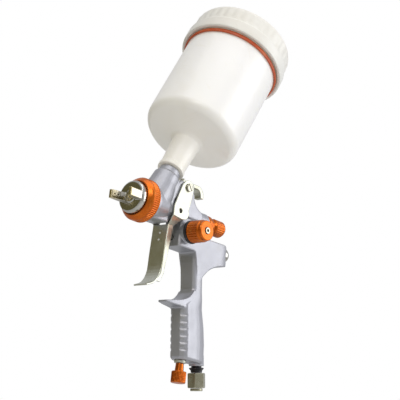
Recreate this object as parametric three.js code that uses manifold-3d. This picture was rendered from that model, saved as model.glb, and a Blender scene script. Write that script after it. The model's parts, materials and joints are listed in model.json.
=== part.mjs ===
// Gravity-feed HVLP spray gun with a plastic paint cup.
// Millimetres, +Z up. The gun sprays towards -X, its handle is at +X and its fan knob is on the -Y side.
// Inside the gun group the nozzle axis is the X axis, and the cup's axis crosses it at X = 0.
// The whole group is then moved so that the seat inside the hanging hook is the origin.
import * as THREE from "three";
import { mergeVertices } from "three/addons/utils/BufferGeometryUtils.js";
import Module from "manifold-3d";

const wasm = await Module();
wasm.setup();

// ---------- driving dimensions ----------
const CLEARANCE = 0.3; // between pieces that fit into, around or on each other
const RIM = 0.5; // how far a cutting tool runs past the face that it opens

// head and air cap, along X
const HEAD_RADIUS = 16.6;
const HEAD_FRONT_X = -8.6;
const HEAD_REAR_X = 17.5;
const HEAD_WAIST_X = 13.8;
const HEAD_WAIST_RADIUS = 12;
const KEEL_HALF_WIDTH = 9.6;
const KEEL_REAR_X = 14.2;
const SPIGOT_RADIUS = 15.2;
const SPIGOT_FRONT_X = -16.5;
const AIR_CHAMBER_RADIUS = 12.4;
const AIR_CHAMBER_REAR_X = -3;
const RING_RADIUS = 19.56;
const RING_KNURL_LENGTH = 8.6;
const RING_LENGTH = 13.2;
const RING_LIP_RADIUS = 14.7;
const CAP_FACE_X = -27.7;
const CAP_FACE_RADIUS = 14.1;
const CAP_WALL = 1.6;
const CAP_HOLE_RADIUS = 2.3;
const HORN_REACH = 13.4;
const HORN_HEIGHT = 7.6;
const HORN_OUTER_Y = 13.4;
const HORN_ROOT_INNER_Y = 5.6;
const HORN_TIP_INNER_Y = 9.6;
const HORN_JET_RADIUS = 0.7;
const NOZZLE_RADIUS = 6.8;
const NOZZLE_TIP_RADIUS = 1.9;
const NOZZLE_STAND_OUT = 1.1;
const NOZZLE_BORE_RADIUS = 2.6;
const NOZZLE_ORIFICE_RADIUS = 0.9;

// cup and the neck that carries it, measured along the cup's own axis
const CUP_LEAN = THREE.MathUtils.degToRad(28.56);
const METAL_NECK_TOP = 40.6;
const METAL_NECK_RADIUS = 10;
const METAL_NECK_STEP = 6;
const METAL_NECK_FLARE_RADIUS = 12.4;
const NECK_BORE_RADIUS = 6.4;
const PAINT_PASSAGE_RADIUS = 4.2;
const CUP_COLLAR_RADIUS = 12.6;
const CUP_COLLAR_HEIGHT = 4.6;
const CUP_NECK_RADIUS = 11.7;
const CUP_NECK_TOP_RADIUS = 13.2;
const CUP_NECK_STEP = 6;
const CUP_NECK_INNER_RADIUS = 9.6;
const CUP_FUNNEL_START = 77;
const CUP_FUNNEL_ROUNDING = 9;
const CUP_FUNNEL_SLOPE = THREE.MathUtils.degToRad(74);
const CUP_RADIUS = 45.06;
const CUP_SHOULDER = 93;
const CUP_TOP = 186;
const CUP_WALL = 1.8;
const CUP_SPOUT_RADIUS = 5.6;
const CUP_SPOUT_DROP = 12;
const FILTER_HEIGHT = 18;
const FILTER_FOOT_RADIUS = 7;
const FILTER_RIM_RADIUS = 10.3;
const SEAL_BOTTOM = 179.4;
const SEAL_HEIGHT = 3.8;
const SEAL_WALL = 1.64;
const LID_SEAT_GAP = 2; // between the cup's wall and the lid's skirt
const LID_SKIRT_WALL = 3.64;
const LID_TOP = 214;
const LID_WALL = 2;
const LID_ROUNDING = 4;
const LID_STEP_HEIGHT = 19;
const LID_STEP = 1.8;
const VENT_RADIUS = 5;
const VENT_HEIGHT = 5;
const VENT_OFFSET = 20;
const VENT_STEM_RADIUS = 2.2;

// body behind the head
const SIDE_Y = 12;
const SLOT_REAR_X = 30.6;
const WEB_BOTTOM_Z = 9.5;
const WEB_FRONT_BOTTOM_Z = -5.6;
const BARREL_RADIUS = 8.9;
const BARREL_END_X = 71.2;
const BARREL_BORE_RADIUS = 6.2;
const BARREL_FRONT_WALL = 4.4;
const BLOCK_Y = 10.4;
const BLOCK_NECK_Y = 9.3;
const BLOCK_TOP_Z = -15.8;
const BLOCK_BOTTOM_Z = -31;
const BLOCK_REAR_X = 97.5;
const TAIL_TIP_X = 102.6;
const NECK_FRONT_X = 53.6;
const GUARD_TIP_X = 27.5;
const GUARD_TIP_Z = -80.4;
const GUARD_TIP_THICKNESS = 1.9;
const GRIP_BOTTOM_Z = -128.8;
const GRIP_HALF_WIDTH = 10.4;
const GRIP_NOTCHES = 6;
const GRIP_NOTCH_TOP_Z = -89.6;
const GRIP_NOTCH_PITCH = 6.1;
const GRIP_NOTCH_HEIGHT = 2.2;
const GRIP_NOTCH_DEPTH = 1.1;

// trigger
const PIVOT_X = 31.3;
const PIVOT_Z = 22;
const PIVOT_PIN_RADIUS = 2.6;
const PIVOT_HEAD_RADIUS = 3.8;
const PIVOT_HEAD_THICKNESS = 1.6;
const ARM_THICKNESS = 1.5;
const ARM_INNER_Y = 12.7;
const ARM_TOP_RADIUS = 6.8;
const LOBE_X = 28.4;
const LOBE_Z = -2;
const LOBE_RADIUS = 6.4;
const LOBE_HOLE_X = 23.8;
const LOBE_HOLE_Z = -1.2;
const LOBE_HOLE_RADIUS = 2.2;
const TRIGGER_PLATE_TOP_Z = -15.2;
const TRIGGER_PLATE_HALF_WIDTH = 8.8;
const TRIGGER_TIP_HALF_WIDTH = 7.8;
const TRIGGER_PLATE_HOLE_RADIUS = 0.9;

// fluid needle, its spring and its knobs, along X
const NEEDLE_RADIUS = 1.3;
const NEEDLE_COLLAR_RADIUS = 2.8;
const NEEDLE_HEAD_RADIUS = 5.2;
const NEEDLE_HEAD_LENGTH = 2.4;
const NEEDLE_HEAD_X = 42;
const NEEDLE_TAIL_RADIUS = 1.6;
const NEEDLE_TAIL_X = 79.5;
const PUSH_BAR_X = 23;
const PUSH_BAR_THICKNESS = 3;
const PUSH_BAR_HEIGHT = 9;
const PUSH_BAR_SLOT_HEIGHT = 6;
const PUSH_BAR_SLOT_WIDTH = 4;
const PUSH_FREE_TRAVEL = 1;
const PACKING_BORE_RADIUS = 3.4;
const PACKING_FRONT_X = 10;
const PACKING_LENGTH = 4;
const PACKING_NUT_RADIUS = 4.6;
const PACKING_NUT_HEAD = 3.2;
const SPRING_WIRE = 1;
const NEEDLE_SPRING_RADIUS = 4.6;
const NEEDLE_SPRING_TURNS = 6;
const LOCK_COLLAR_RADIUS = 8.3;
const LOCK_COLLAR_LENGTH = 8.8;
const FLUID_STEM_RADIUS = 5.6;
const FLUID_STEM_BORE_RADIUS = 2.1;
const FLUID_STEM_DEPTH = 7;
const FLUID_KNOB_RADIUS = 7.8;
const FLUID_KNOB_FRONT_X = 82.6;
const FLUID_KNOB_LENGTH = 15;

// air valve, along X below the nozzle axis
const VALVE_Z = -23;
const VALVE_BORE_RADIUS = 5.8;
const VALVE_BORE_FRONT_X = 47;
const VALVE_STEM_RADIUS = 2.1;
const VALVE_STEM_FRONT_X = 16.6;
const VALVE_STEM_REAR_X = 62;
const VALVE_DISC_RADIUS = 4.9;
const VALVE_DISC_THICKNESS = 2.6;
const VALVE_SEAT_THICKNESS = 2.4;
const VALVE_SPRING_TURNS = 7;
const VALVE_SPRING_RADIUS = 4;
const VALVE_CAP_RADIUS = 7.4;
const VALVE_CAP_LENGTH = 9.4;
const VALVE_PLUG_LENGTH = 8;

// fan control, along Y on the -Y side
const FAN_X = 39;
const FAN_Z = -17.3;
const FAN_BOSS_Y = -14.6;
const FAN_BOSS_RADIUS = 8.6;
const FAN_BASE_RADIUS = 10.6;
const FAN_BASE_THICKNESS = 2.4;
const FAN_KNOB_RADIUS = 10.1;
const FAN_KNOB_LENGTH = 16.8;
const FAN_BORE_RADIUS = 4.2;
const FAN_BORE_END_Y = -3.6;
const FAN_STEM_RADIUS = 3.2;
const FAN_SCREW_RADIUS = 2.9;
const FAN_SCREW_DEPTH = 6;

// hanging hook on top of the body
const HOOK_HALF_WIDTH = 4;
const HOOK_THICKNESS = 3.6;
const HOOK_FRONT_X = 33.2;
const HOOK_SEAT_X = 51;
const HOOK_SEAT_Z = 28;
const HOOK_TIP_X = 64.2;
const HOOK_TIP_Z = 20.8;
const HOOK_SCREW_X = 37.5;
const HOOK_SCREW_RADIUS = 2.4;
const HOOK_SHANK_RADIUS = 1.6;
const HOOK_SHANK_DEPTH = 3.6;
const BODY_TOP_Z = HOOK_SEAT_Z - CLEARANCE;

// air inlet and air regulator under the grip
const INLET_X = 81.6;
const INLET_LEAN = THREE.MathUtils.degToRad(9);
const INLET_COLLAR_RADIUS = 6.8;
const INLET_COLLAR_LENGTH = 3.6;
const INLET_BOSS_DROP = 1.4;
const INLET_THROAT_RADIUS = 5.2;
const INLET_THROAT_LENGTH = 2;
const INLET_NUT_ACROSS_FLATS = 14.6;
const INLET_NUT_LENGTH = 13.4;
const INLET_TAIL_RADIUS = 5.6;
const INLET_TAIL_LENGTH = 2.4;
const INLET_BORE_RADIUS = 3.2;
const INLET_SPIGOT_RADIUS = 4.6;
const INLET_SPIGOT_DEPTH = 9;
const AIR_WAY_RADIUS = 2.8;
const AIR_WAY_LENGTH = 32;
const REGULATOR_X = 59.2;
const REGULATOR_BUSH_RADIUS = 5.6;
const REGULATOR_BUSH_LENGTH = 2.4;
const REGULATOR_BUSH_DEPTH = 8;
const REGULATOR_BORE_RADIUS = 3.6;
const REGULATOR_DEPTH = 15;
const REGULATOR_STEM_RADIUS = 1.8;
const REGULATOR_NECK_RADIUS = 3.6;
const REGULATOR_NECK_LENGTH = 7;
const REGULATOR_KNOB_RADIUS = 6.7;
const REGULATOR_KNOB_LENGTH = 10.6;
const REGULATOR_KNOB_FLOOR = 4;

// ---------- making and combining solids ----------
const V2 = (x, y) => new THREE.Vector2(x, y);

function solid(geometry) {
  const bare = geometry.clone();
  bare.deleteAttribute("normal");
  bare.deleteAttribute("uv");
  const merged = mergeVertices(bare, 1e-4);
  return new wasm.Manifold(
    new wasm.Mesh({
      numProp: 3,
      vertProperties: merged.attributes.position.array,
      triVerts: new Uint32Array(merged.index.array),
    }),
  );
}

function geometryOf(manifold) {
  const mesh = manifold.getMesh();
  const geometry = new THREE.BufferGeometry();
  geometry.setAttribute("position", new THREE.BufferAttribute(mesh.vertProperties, 3));
  geometry.setIndex(new THREE.BufferAttribute(mesh.triVerts, 1));
  geometry.computeVertexNormals();
  return geometry;
}

function joined(...geometries) {
  return geometryOf(geometries.map(solid).reduce((sum, next) => sum.add(next)));
}

function cut(base, ...tools) {
  return geometryOf(tools.map(solid).reduce((left, tool) => left.subtract(tool), solid(base)));
}

function common(a, b) {
  return geometryOf(solid(a).intersect(solid(b)));
}

// A closed profile of [distance along the axis, radius] pairs, turned about the named axis.
// It is put in the order that faces outwards, and one that touches the axis starts and ends there.
function turned(profile, axis = "x", segments = 24) {
  let area = 0;
  profile.forEach(([along, radius], i) => {
    const [nextAlong, nextRadius] = profile[(i + 1) % profile.length];
    area += along * nextRadius - nextAlong * radius;
  });
  const ordered = area < 0 ? [...profile] : [...profile].reverse();
  const onAxis = ([, radius]) => radius === 0;
  if (ordered.some(onAxis)) {
    while (!(onAxis(ordered[0]) && onAxis(ordered[ordered.length - 1]))) ordered.push(ordered.shift());
  } else {
    ordered.push(ordered[0]);
  }
  const geometry = new THREE.LatheGeometry(ordered.map(([along, radius]) => V2(radius, along)), segments);
  if (axis === "x") geometry.rotateZ(-Math.PI / 2);
  if (axis === "z") geometry.rotateX(Math.PI / 2);
  return geometry;
}

function rod(from, to, radius, axis = "x", segments = 24) {
  return turned([[from, 0], [from, radius], [to, radius], [to, 0]], axis, segments);
}

function tube(from, to, outer, inner, axis = "x", segments = 24) {
  return turned([[from, inner], [from, outer], [to, outer], [to, inner]], axis, segments);
}

function box(x0, x1, y0, y1, z0, z1) {
  const geometry = new THREE.BoxGeometry(x1 - x0, y1 - y0, z1 - z0);
  return geometry.translate((x0 + x1) / 2, (y0 + y1) / 2, (z0 + z1) / 2);
}

// A side outline in X and Z, extruded across Y from y0 to y1, with its edges rounded by bevel.
function plate(shape, y0, y1, bevel = 0) {
  const geometry = new THREE.ExtrudeGeometry(shape, {
    depth: y1 - y0 - 2 * bevel,
    bevelEnabled: bevel > 0,
    bevelThickness: bevel,
    bevelSize: bevel,
    bevelOffset: -bevel,
    bevelSegments: 2,
    curveSegments: 6,
  });
  return geometry.rotateX(Math.PI / 2).translate(0, y1 - bevel, 0);
}

// A plan outline in X and Y, extruded up from z0 to z1.
function slab(shape, z0, z1) {
  const geometry = new THREE.ExtrudeGeometry(shape, { depth: z1 - z0, bevelEnabled: false, curveSegments: 8 });
  return geometry.translate(0, 0, z0);
}

function outline(...points) {
  return new THREE.Shape(points.map(([x, y]) => V2(x, y)));
}

function turnedInsideOut(geometry) {
  const index = [...geometry.index.array];
  for (let i = 0; i < index.length; i += 3) {
    [index[i + 1], index[i + 2]] = [index[i + 2], index[i + 1]];
  }
  return geometry.setIndex(index);
}

// A closed skin over rings of points that follow each other, capped flat at both ends.
function loft(rings) {
  const count = rings[0].length;
  const positions = rings.flat().flatMap((p) => [p.x, p.y, p.z]);
  const index = [];
  for (let k = 0; k < rings.length - 1; k += 1) {
    for (let i = 0; i < count; i += 1) {
      const a = k * count + i;
      const b = k * count + ((i + 1) % count);
      index.push(a, b, b + count, a, b + count, a + count);
    }
  }
  const last = (rings.length - 1) * count;
  for (let i = 1; i < count - 1; i += 1) {
    index.push(0, i + 1, i, last, last + i, last + i + 1);
  }
  const geometry = new THREE.BufferGeometry();
  geometry.setAttribute("position", new THREE.Float32BufferAttribute(positions, 3));
  geometry.setIndex(index);
  return solid(geometry).volume() < 0 ? turnedInsideOut(geometry) : geometry;
}

// A coil spring of round wire about the X axis at height z.
function coilSpring(fromX, toX, radius, turns, z) {
  const steps = turns * 10;
  const points = [];
  for (let i = 0; i <= steps; i += 1) {
    const angle = (i / steps) * turns * 2 * Math.PI;
    const x = THREE.MathUtils.lerp(fromX, toX, i / steps);
    points.push(new THREE.Vector3(x, radius * Math.cos(angle), z + radius * Math.sin(angle)));
  }
  const wire = new THREE.Shape().absarc(0, 0, SPRING_WIRE / 2, 0, 2 * Math.PI);
  return new THREE.ExtrudeGeometry(wire, {
    steps,
    curveSegments: 3,
    extrudePath: new THREE.CatmullRomCurve3(points),
  });
}

// Moves a solid made about the Z axis onto the leaning cup axis.
function onCupAxis(geometry) {
  return geometry.rotateY(CUP_LEAN);
}

// Moves a solid made about the Z axis, with its top at 0, onto the leaning inlet axis.
function onInletAxis(geometry) {
  return geometry.rotateY(-INLET_LEAN).translate(INLET_X, 0, GRIP_BOTTOM_Z);
}

// ---------- materials ----------
const look = (color, roughness, metalness) => ({ color, roughness, metalness });
const SATIN_BODY = look(0xc9c8d2, 0.38, 0.75);
const POLISHED_NICKEL = look(0x8a8780, 0.16, 1);
const SATIN_NICKEL = look(0xbfc1b6, 0.3, 1);
const ORANGE_ANODISE = look(0xd9641b, 0.33, 0.8);
const BRASS = look(0xb59a55, 0.3, 1);
const STEEL = look(0xb4b4b0, 0.28, 1);
const BLACK_OXIDE = look(0x24242a, 0.5, 0.4);
const MILKY_PLASTIC = look(0xe9e6de, 0.42, 0);
const WHITE_PLASTIC = look(0xf2f1ee, 0.4, 0);
const RED_SEAL = look(0xb8502c, 0.55, 0);
const PALE_SEAL = look(0xe8e4d6, 0.5, 0);

const gun = new THREE.Group();

function piece(name, geometry, finish) {
  const mesh = new THREE.Mesh(geometry, new THREE.MeshStandardMaterial(finish));
  mesh.name = name;
  gun.add(mesh);
}

// ---------- gun body ----------
function headCasting() {
  const barrel = turned([
    [SPIGOT_FRONT_X, 0],
    [SPIGOT_FRONT_X, SPIGOT_RADIUS],
    [HEAD_FRONT_X, SPIGOT_RADIUS],
    [HEAD_FRONT_X, HEAD_RADIUS],
    [HEAD_FRONT_X + 4, HEAD_RADIUS],
    [9, 14],
    [HEAD_WAIST_X, HEAD_WAIST_RADIUS],
    [HEAD_REAR_X, HEAD_WAIST_RADIUS],
    [HEAD_REAR_X, 0],
  ], "x", 32);
  const keel = outline([HEAD_FRONT_X + 5, -14.6], [KEEL_REAR_X, -14.2], [KEEL_REAR_X, 6], [2, 6]);
  return joined(barrel, plate(keel, -KEEL_HALF_WIDTH, KEEL_HALF_WIDTH, 1.4));
}

function neckCasting() {
  return onCupAxis(turned([
    [0, 0],
    [0, 15.4],
    [14, 14.6],
    [24, 13],
    [METAL_NECK_TOP - METAL_NECK_STEP - 2, METAL_NECK_FLARE_RADIUS],
    [METAL_NECK_TOP - METAL_NECK_STEP, METAL_NECK_RADIUS],
    [METAL_NECK_TOP, METAL_NECK_RADIUS],
    [METAL_NECK_TOP, 0],
  ], "z", 28));
}

// The wall that joins the head, the pivot and the barrel, over the slot that the needle crosses.
function webCasting() {
  const shape = new THREE.Shape();
  shape.moveTo(4, WEB_FRONT_BOTTOM_Z);
  shape.lineTo(HEAD_REAR_X, WEB_FRONT_BOTTOM_Z);
  shape.lineTo(HEAD_REAR_X, WEB_BOTTOM_Z - 4);
  shape.quadraticCurveTo(HEAD_REAR_X, WEB_BOTTOM_Z, HEAD_REAR_X + 4, WEB_BOTTOM_Z);
  shape.lineTo(SLOT_REAR_X, WEB_BOTTOM_Z);
  shape.lineTo(SLOT_REAR_X, -4);
  shape.lineTo(60, -4);
  shape.lineTo(56, 5);
  shape.quadraticCurveTo(43, 8, 42, PIVOT_Z);
  shape.lineTo(42, BODY_TOP_Z - 1);
  shape.lineTo(41, BODY_TOP_Z);
  shape.lineTo(24, BODY_TOP_Z);
  shape.quadraticCurveTo(18, 24, 15, 18);
  return plate(shape, -SIDE_Y, SIDE_Y, 1.6);
}

function barrelCasting() {
  return turned([
    [SLOT_REAR_X, 0],
    [SLOT_REAR_X, BARREL_RADIUS - 1],
    [SLOT_REAR_X + 1, BARREL_RADIUS],
    [BARREL_END_X - 1, BARREL_RADIUS],
    [BARREL_END_X, BARREL_RADIUS - 1],
    [BARREL_END_X, 0],
  ], "x", 28);
}

// The block that holds the air valve, with the tail that rests on the hand.
function blockCasting() {
  const side = new THREE.Shape();
  side.moveTo(SLOT_REAR_X, BLOCK_BOTTOM_Z);
  side.lineTo(SLOT_REAR_X, -5);
  side.lineTo(62, -5);
  side.quadraticCurveTo(64, BLOCK_TOP_Z, 73, BLOCK_TOP_Z);
  side.lineTo(BLOCK_REAR_X - 4, BLOCK_TOP_Z + 0.4);
  side.quadraticCurveTo(BLOCK_REAR_X, BLOCK_TOP_Z, BLOCK_REAR_X, BLOCK_TOP_Z - 4);
  side.lineTo(BLOCK_REAR_X, BLOCK_BOTTOM_Z + 1.6);
  side.lineTo(TAIL_TIP_X, BLOCK_BOTTOM_Z - 0.4);
  side.quadraticCurveTo(TAIL_TIP_X + 0.4, BLOCK_BOTTOM_Z - 3.2, TAIL_TIP_X - 2, BLOCK_BOTTOM_Z - 3.6);
  side.quadraticCurveTo(82, BLOCK_BOTTOM_Z - 7.4, 75, BLOCK_BOTTOM_Z - 13);
  side.quadraticCurveTo(69, BLOCK_BOTTOM_Z - 18, 64, BLOCK_BOTTOM_Z - 26);
  side.lineTo(NECK_FRONT_X + 8, BLOCK_BOTTOM_Z - 26);
  side.lineTo(NECK_FRONT_X, BLOCK_BOTTOM_Z - 2);
  side.quadraticCurveTo(NECK_FRONT_X, BLOCK_BOTTOM_Z, NECK_FRONT_X - 2, BLOCK_BOTTOM_Z);
  const plan = new THREE.Shape();
  plan.moveTo(SLOT_REAR_X - RIM, -7);
  plan.quadraticCurveTo(SLOT_REAR_X, -BLOCK_Y, SLOT_REAR_X + 4, -BLOCK_Y);
  plan.lineTo(90, -BLOCK_Y);
  plan.quadraticCurveTo(TAIL_TIP_X, -BLOCK_Y, TAIL_TIP_X + RIM, 0);
  plan.quadraticCurveTo(TAIL_TIP_X, BLOCK_Y, 90, BLOCK_Y);
  plan.lineTo(SLOT_REAR_X + 4, BLOCK_Y);
  plan.quadraticCurveTo(SLOT_REAR_X, BLOCK_Y, SLOT_REAR_X - RIM, 7);
  const front = outline(
    [-BLOCK_Y, 0],
    [-BLOCK_Y, BLOCK_BOTTOM_Z - 7],
    [-BLOCK_NECK_Y, BLOCK_BOTTOM_Z - 27],
    [BLOCK_NECK_Y, BLOCK_BOTTOM_Z - 27],
    [BLOCK_Y, BLOCK_BOTTOM_Z - 7],
    [BLOCK_Y, 0],
  );
  const across = plate(front, -TAIL_TIP_X - 5, 0).rotateZ(Math.PI / 2);
  return common(common(plate(side, -BLOCK_Y, BLOCK_Y, 1), slab(plan, -100, 0)), across);
}

// One level of the handle: a flat front, slanted front corners, flat sides and a round back.
function handleRing(z, front, back, halfWidth, frontHalfWidth, slant) {
  const backDepth = (back - front) * 0.52;
  const half = [
    [front, frontHalfWidth],
    [front + slant * 0.5, frontHalfWidth + (halfWidth - frontHalfWidth) * 0.62],
    [front + slant, halfWidth - 0.4],
    [front + slant + 1.6, halfWidth],
  ];
  const arcSteps = 6;
  for (let i = 0; i <= arcSteps; i += 1) {
    const angle = (i / arcSteps) * (Math.PI / 2);
    half.push([back - backDepth + backDepth * Math.sin(angle), halfWidth * Math.cos(angle)]);
  }
  const near = half.map(([x, y]) => new THREE.Vector3(x, -y, z));
  const far = half.slice(0, -1).reverse().map(([x, y]) => new THREE.Vector3(x, y, z));
  return [...near, ...far];
}

// Level by level down the handle: height, front, back, half-width, half-width of the flat front, corner slant.
const HANDLE_LEVELS = [
  [-24, 53.4, 74, 10.2, 7, 3],
  [-40, 54.2, 73.2, 9.8, 7, 3],
  [-52, 56, 72.4, 9.6, 6.8, 3],
  [-64, 57.6, 73.8, 9.6, 6.6, 3],
  [-72, 56, 75.8, 9.8, 6.2, 3.2],
  [-80, 46.4, 78, 10.1, 5, 4],
  [-96, 48, 83, 10.3, 4.6, 4.6],
  [-111, 50, 86, GRIP_HALF_WIDTH, 4.6, 4.8],
  [GRIP_BOTTOM_Z + 2, 52.1, 87.4, GRIP_HALF_WIDTH - 0.2, 4.6, 4.8],
  [GRIP_BOTTOM_Z, 53.4, 86.4, GRIP_HALF_WIDTH - 1.6, 3.8, 4.4],
];

function handleCasting() {
  return loft(HANDLE_LEVELS.map((level) => handleRing(...level)));
}

// The finger guard that juts forward between the trigger and the grip.
function guardCasting() {
  const side = new THREE.Shape();
  side.moveTo(GUARD_TIP_X, GUARD_TIP_Z);
  side.lineTo(40, GUARD_TIP_Z + 2.4);
  side.quadraticCurveTo(54, GUARD_TIP_Z + 5, 58, -66);
  side.lineTo(68, -66);
  side.lineTo(68, -86);
  side.quadraticCurveTo(56, -84.6, 46, -83.2);
  side.lineTo(GUARD_TIP_X, GUARD_TIP_Z - GUARD_TIP_THICKNESS);
  const plan = new THREE.Shape();
  plan.moveTo(GUARD_TIP_X, -5);
  plan.quadraticCurveTo(40, -9, 60, -9.7);
  plan.lineTo(68, -9);
  plan.lineTo(68, 9);
  plan.lineTo(60, 9.7);
  plan.quadraticCurveTo(40, 9, GUARD_TIP_X, 5);
  plan.quadraticCurveTo(GUARD_TIP_X - 1.6, 0, GUARD_TIP_X, -5);
  return common(plate(side, -GRIP_HALF_WIDTH, GRIP_HALF_WIDTH), slab(plan, -100, -40));
}

function gripNotches() {
  const notches = [];
  for (let i = 0; i < GRIP_NOTCHES; i += 1) {
    const z = GRIP_NOTCH_TOP_Z - i * GRIP_NOTCH_PITCH;
    const front = THREE.MathUtils.mapLinear(z, -96, -111, 48, 50);
    for (const side of [-1, 1]) {
      const notch = new THREE.BoxGeometry(7.4, 2 * GRIP_NOTCH_DEPTH, GRIP_NOTCH_HEIGHT);
      notch.rotateZ(side * Math.atan2(GRIP_HALF_WIDTH - 4.6, 4.8));
      notches.push(notch.translate(front + 2.1, side * 8.1, z));
    }
  }
  return notches;
}

function valveCuts() {
  return [
    rod(SLOT_REAR_X - RIM, VALVE_BORE_FRONT_X + RIM, VALVE_STEM_RADIUS + CLEARANCE),
    rod(VALVE_BORE_FRONT_X, BLOCK_REAR_X + RIM, VALVE_BORE_RADIUS),
    rod(BLOCK_REAR_X, TAIL_TIP_X + 1, VALVE_CAP_RADIUS + CLEARANCE),
  ].map((geometry) => geometry.translate(0, 0, VALVE_Z));
}

function needleCuts() {
  return [
    rod(SPIGOT_FRONT_X - RIM, AIR_CHAMBER_REAR_X, AIR_CHAMBER_RADIUS),
    rod(AIR_CHAMBER_REAR_X - RIM, 2, NOZZLE_BORE_RADIUS + 2.4 + CLEARANCE),
    rod(1, HEAD_REAR_X + RIM, NEEDLE_RADIUS + 0.7),
    rod(PACKING_FRONT_X, HEAD_REAR_X + RIM, PACKING_BORE_RADIUS),
    rod(HEAD_REAR_X, SLOT_REAR_X - 6, PACKING_NUT_RADIUS + 2 * CLEARANCE),
    rod(SLOT_REAR_X - 1, SLOT_REAR_X + BARREL_FRONT_WALL + RIM, NEEDLE_COLLAR_RADIUS + 0.6),
    rod(SLOT_REAR_X + BARREL_FRONT_WALL, BARREL_END_X + RIM, BARREL_BORE_RADIUS),
  ];
}

function neckCuts() {
  return [
    rod(0, METAL_NECK_TOP + RIM, PAINT_PASSAGE_RADIUS, "z", 20),
    rod(METAL_NECK_TOP - CUP_SPOUT_DROP - 1, METAL_NECK_TOP + RIM, NECK_BORE_RADIUS, "z"),
  ].map(onCupAxis);
}

function handleCuts() {
  const inletBottom = -INLET_BOSS_DROP - RIM;
  const inlet = onInletAxis(rod(inletBottom, INLET_SPIGOT_DEPTH + 1, INLET_SPIGOT_RADIUS + CLEARANCE, "z"));
  const lowerWay = onInletAxis(rod(0, AIR_WAY_LENGTH, AIR_WAY_RADIUS, "z", 16));
  const upperWay = rod(0, 75, AIR_WAY_RADIUS, "z", 16).rotateY(-0.09).translate(71.5, 0, -98);
  const linkWay = rod(71.5, 78, AIR_WAY_RADIUS, "x", 16).translate(0, 0, -97);
  const regulator = rod(-RIM, REGULATOR_DEPTH, REGULATOR_BORE_RADIUS, "z", 20).translate(REGULATOR_X, 0, GRIP_BOTTOM_Z);
  const crossWay = rod(REGULATOR_X, 77, 2, "x", 12).translate(0, 0, GRIP_BOTTOM_Z + REGULATOR_DEPTH - 2.4);
  return [inlet, lowerWay, upperWay, linkWay, regulator, crossWay];
}

function sideAndTopCuts() {
  const holeY = SIDE_Y + RIM;
  const pivot = rod(-holeY, holeY, PIVOT_PIN_RADIUS + CLEARANCE, "y", 20).translate(PIVOT_X, 0, PIVOT_Z);
  const fan = rod(FAN_BOSS_Y - RIM, FAN_BORE_END_Y, FAN_BORE_RADIUS, "y", 20).translate(FAN_X, 0, FAN_Z);
  const hookHoleBottom = BODY_TOP_Z - HOOK_SHANK_DEPTH - 0.6;
  const hook = rod(hookHoleBottom, BODY_TOP_Z + RIM, HOOK_SHANK_RADIUS + CLEARANCE, "z", 12);
  return [pivot, fan, hook.translate(HOOK_SCREW_X, 0, 0)];
}

function fanBoss() {
  return rod(FAN_BOSS_Y, -4, FAN_BOSS_RADIUS, "y").translate(FAN_X, 0, FAN_Z);
}

function inletBoss() {
  return onInletAxis(rod(-INLET_BOSS_DROP, INLET_SPIGOT_DEPTH - 1, INLET_COLLAR_RADIUS, "z"));
}

function gunBody() {
  const casting = joined(
    headCasting(),
    neckCasting(),
    webCasting(),
    barrelCasting(),
    blockCasting(),
    handleCasting(),
    guardCasting(),
    fanBoss(),
    inletBoss(),
  );
  return cut(
    casting,
    ...valveCuts(),
    ...needleCuts(),
    ...neckCuts(),
    ...handleCuts(),
    ...sideAndTopCuts(),
    ...gripNotches(),
  );
}

piece("gun_body", gunBody(), SATIN_BODY);

// ---------- air cap, its ring, the baffle and the nozzle ----------
const RING_REAR_X = HEAD_FRONT_X - CLEARANCE;
const RING_FRONT_X = RING_REAR_X - RING_LENGTH;
const CAP_REAR_X = SPIGOT_FRONT_X - CLEARANCE;
const NOZZLE_TIP_X = CAP_FACE_X - NOZZLE_STAND_OUT;

function airCapRing() {
  const bore = SPIGOT_RADIUS + CLEARANCE + 0.2;
  return turned([
    [RING_REAR_X, bore],
    [RING_REAR_X, RING_RADIUS - 0.7],
    [RING_REAR_X - 0.7, RING_RADIUS],
    [RING_REAR_X - RING_KNURL_LENGTH, RING_RADIUS],
    [RING_REAR_X - RING_KNURL_LENGTH - 1.8, RING_RADIUS - 0.9],
    [RING_FRONT_X + 1, RING_RADIUS - 2.6],
    [RING_FRONT_X, RING_RADIUS - 3.6],
    [RING_FRONT_X, RING_LIP_RADIUS + CLEARANCE],
    [RING_FRONT_X + 2.4, RING_LIP_RADIUS + CLEARANCE],
    [RING_FRONT_X + 2.4, bore],
  ], "x", 40);
}

function airCapHorn(side) {
  const root = CAP_FACE_X + 1;
  const tip = CAP_FACE_X - HORN_REACH;
  const shape = outline(
    [root, side * HORN_ROOT_INNER_Y],
    [CAP_FACE_X - 4, side * (HORN_ROOT_INNER_Y + 2)],
    [tip + 1, side * HORN_TIP_INNER_Y],
    [tip, side * (HORN_TIP_INNER_Y + 0.8)],
    [tip, side * (HORN_OUTER_Y - 0.6)],
    [tip + 0.6, side * HORN_OUTER_Y],
    [root, side * HORN_OUTER_Y],
  );
  const block = slab(shape, -HORN_HEIGHT / 2, HORN_HEIGHT / 2);
  return common(block, rod(tip - 1, root, CAP_FACE_RADIUS - 0.4, "x", 32));
}

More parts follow.
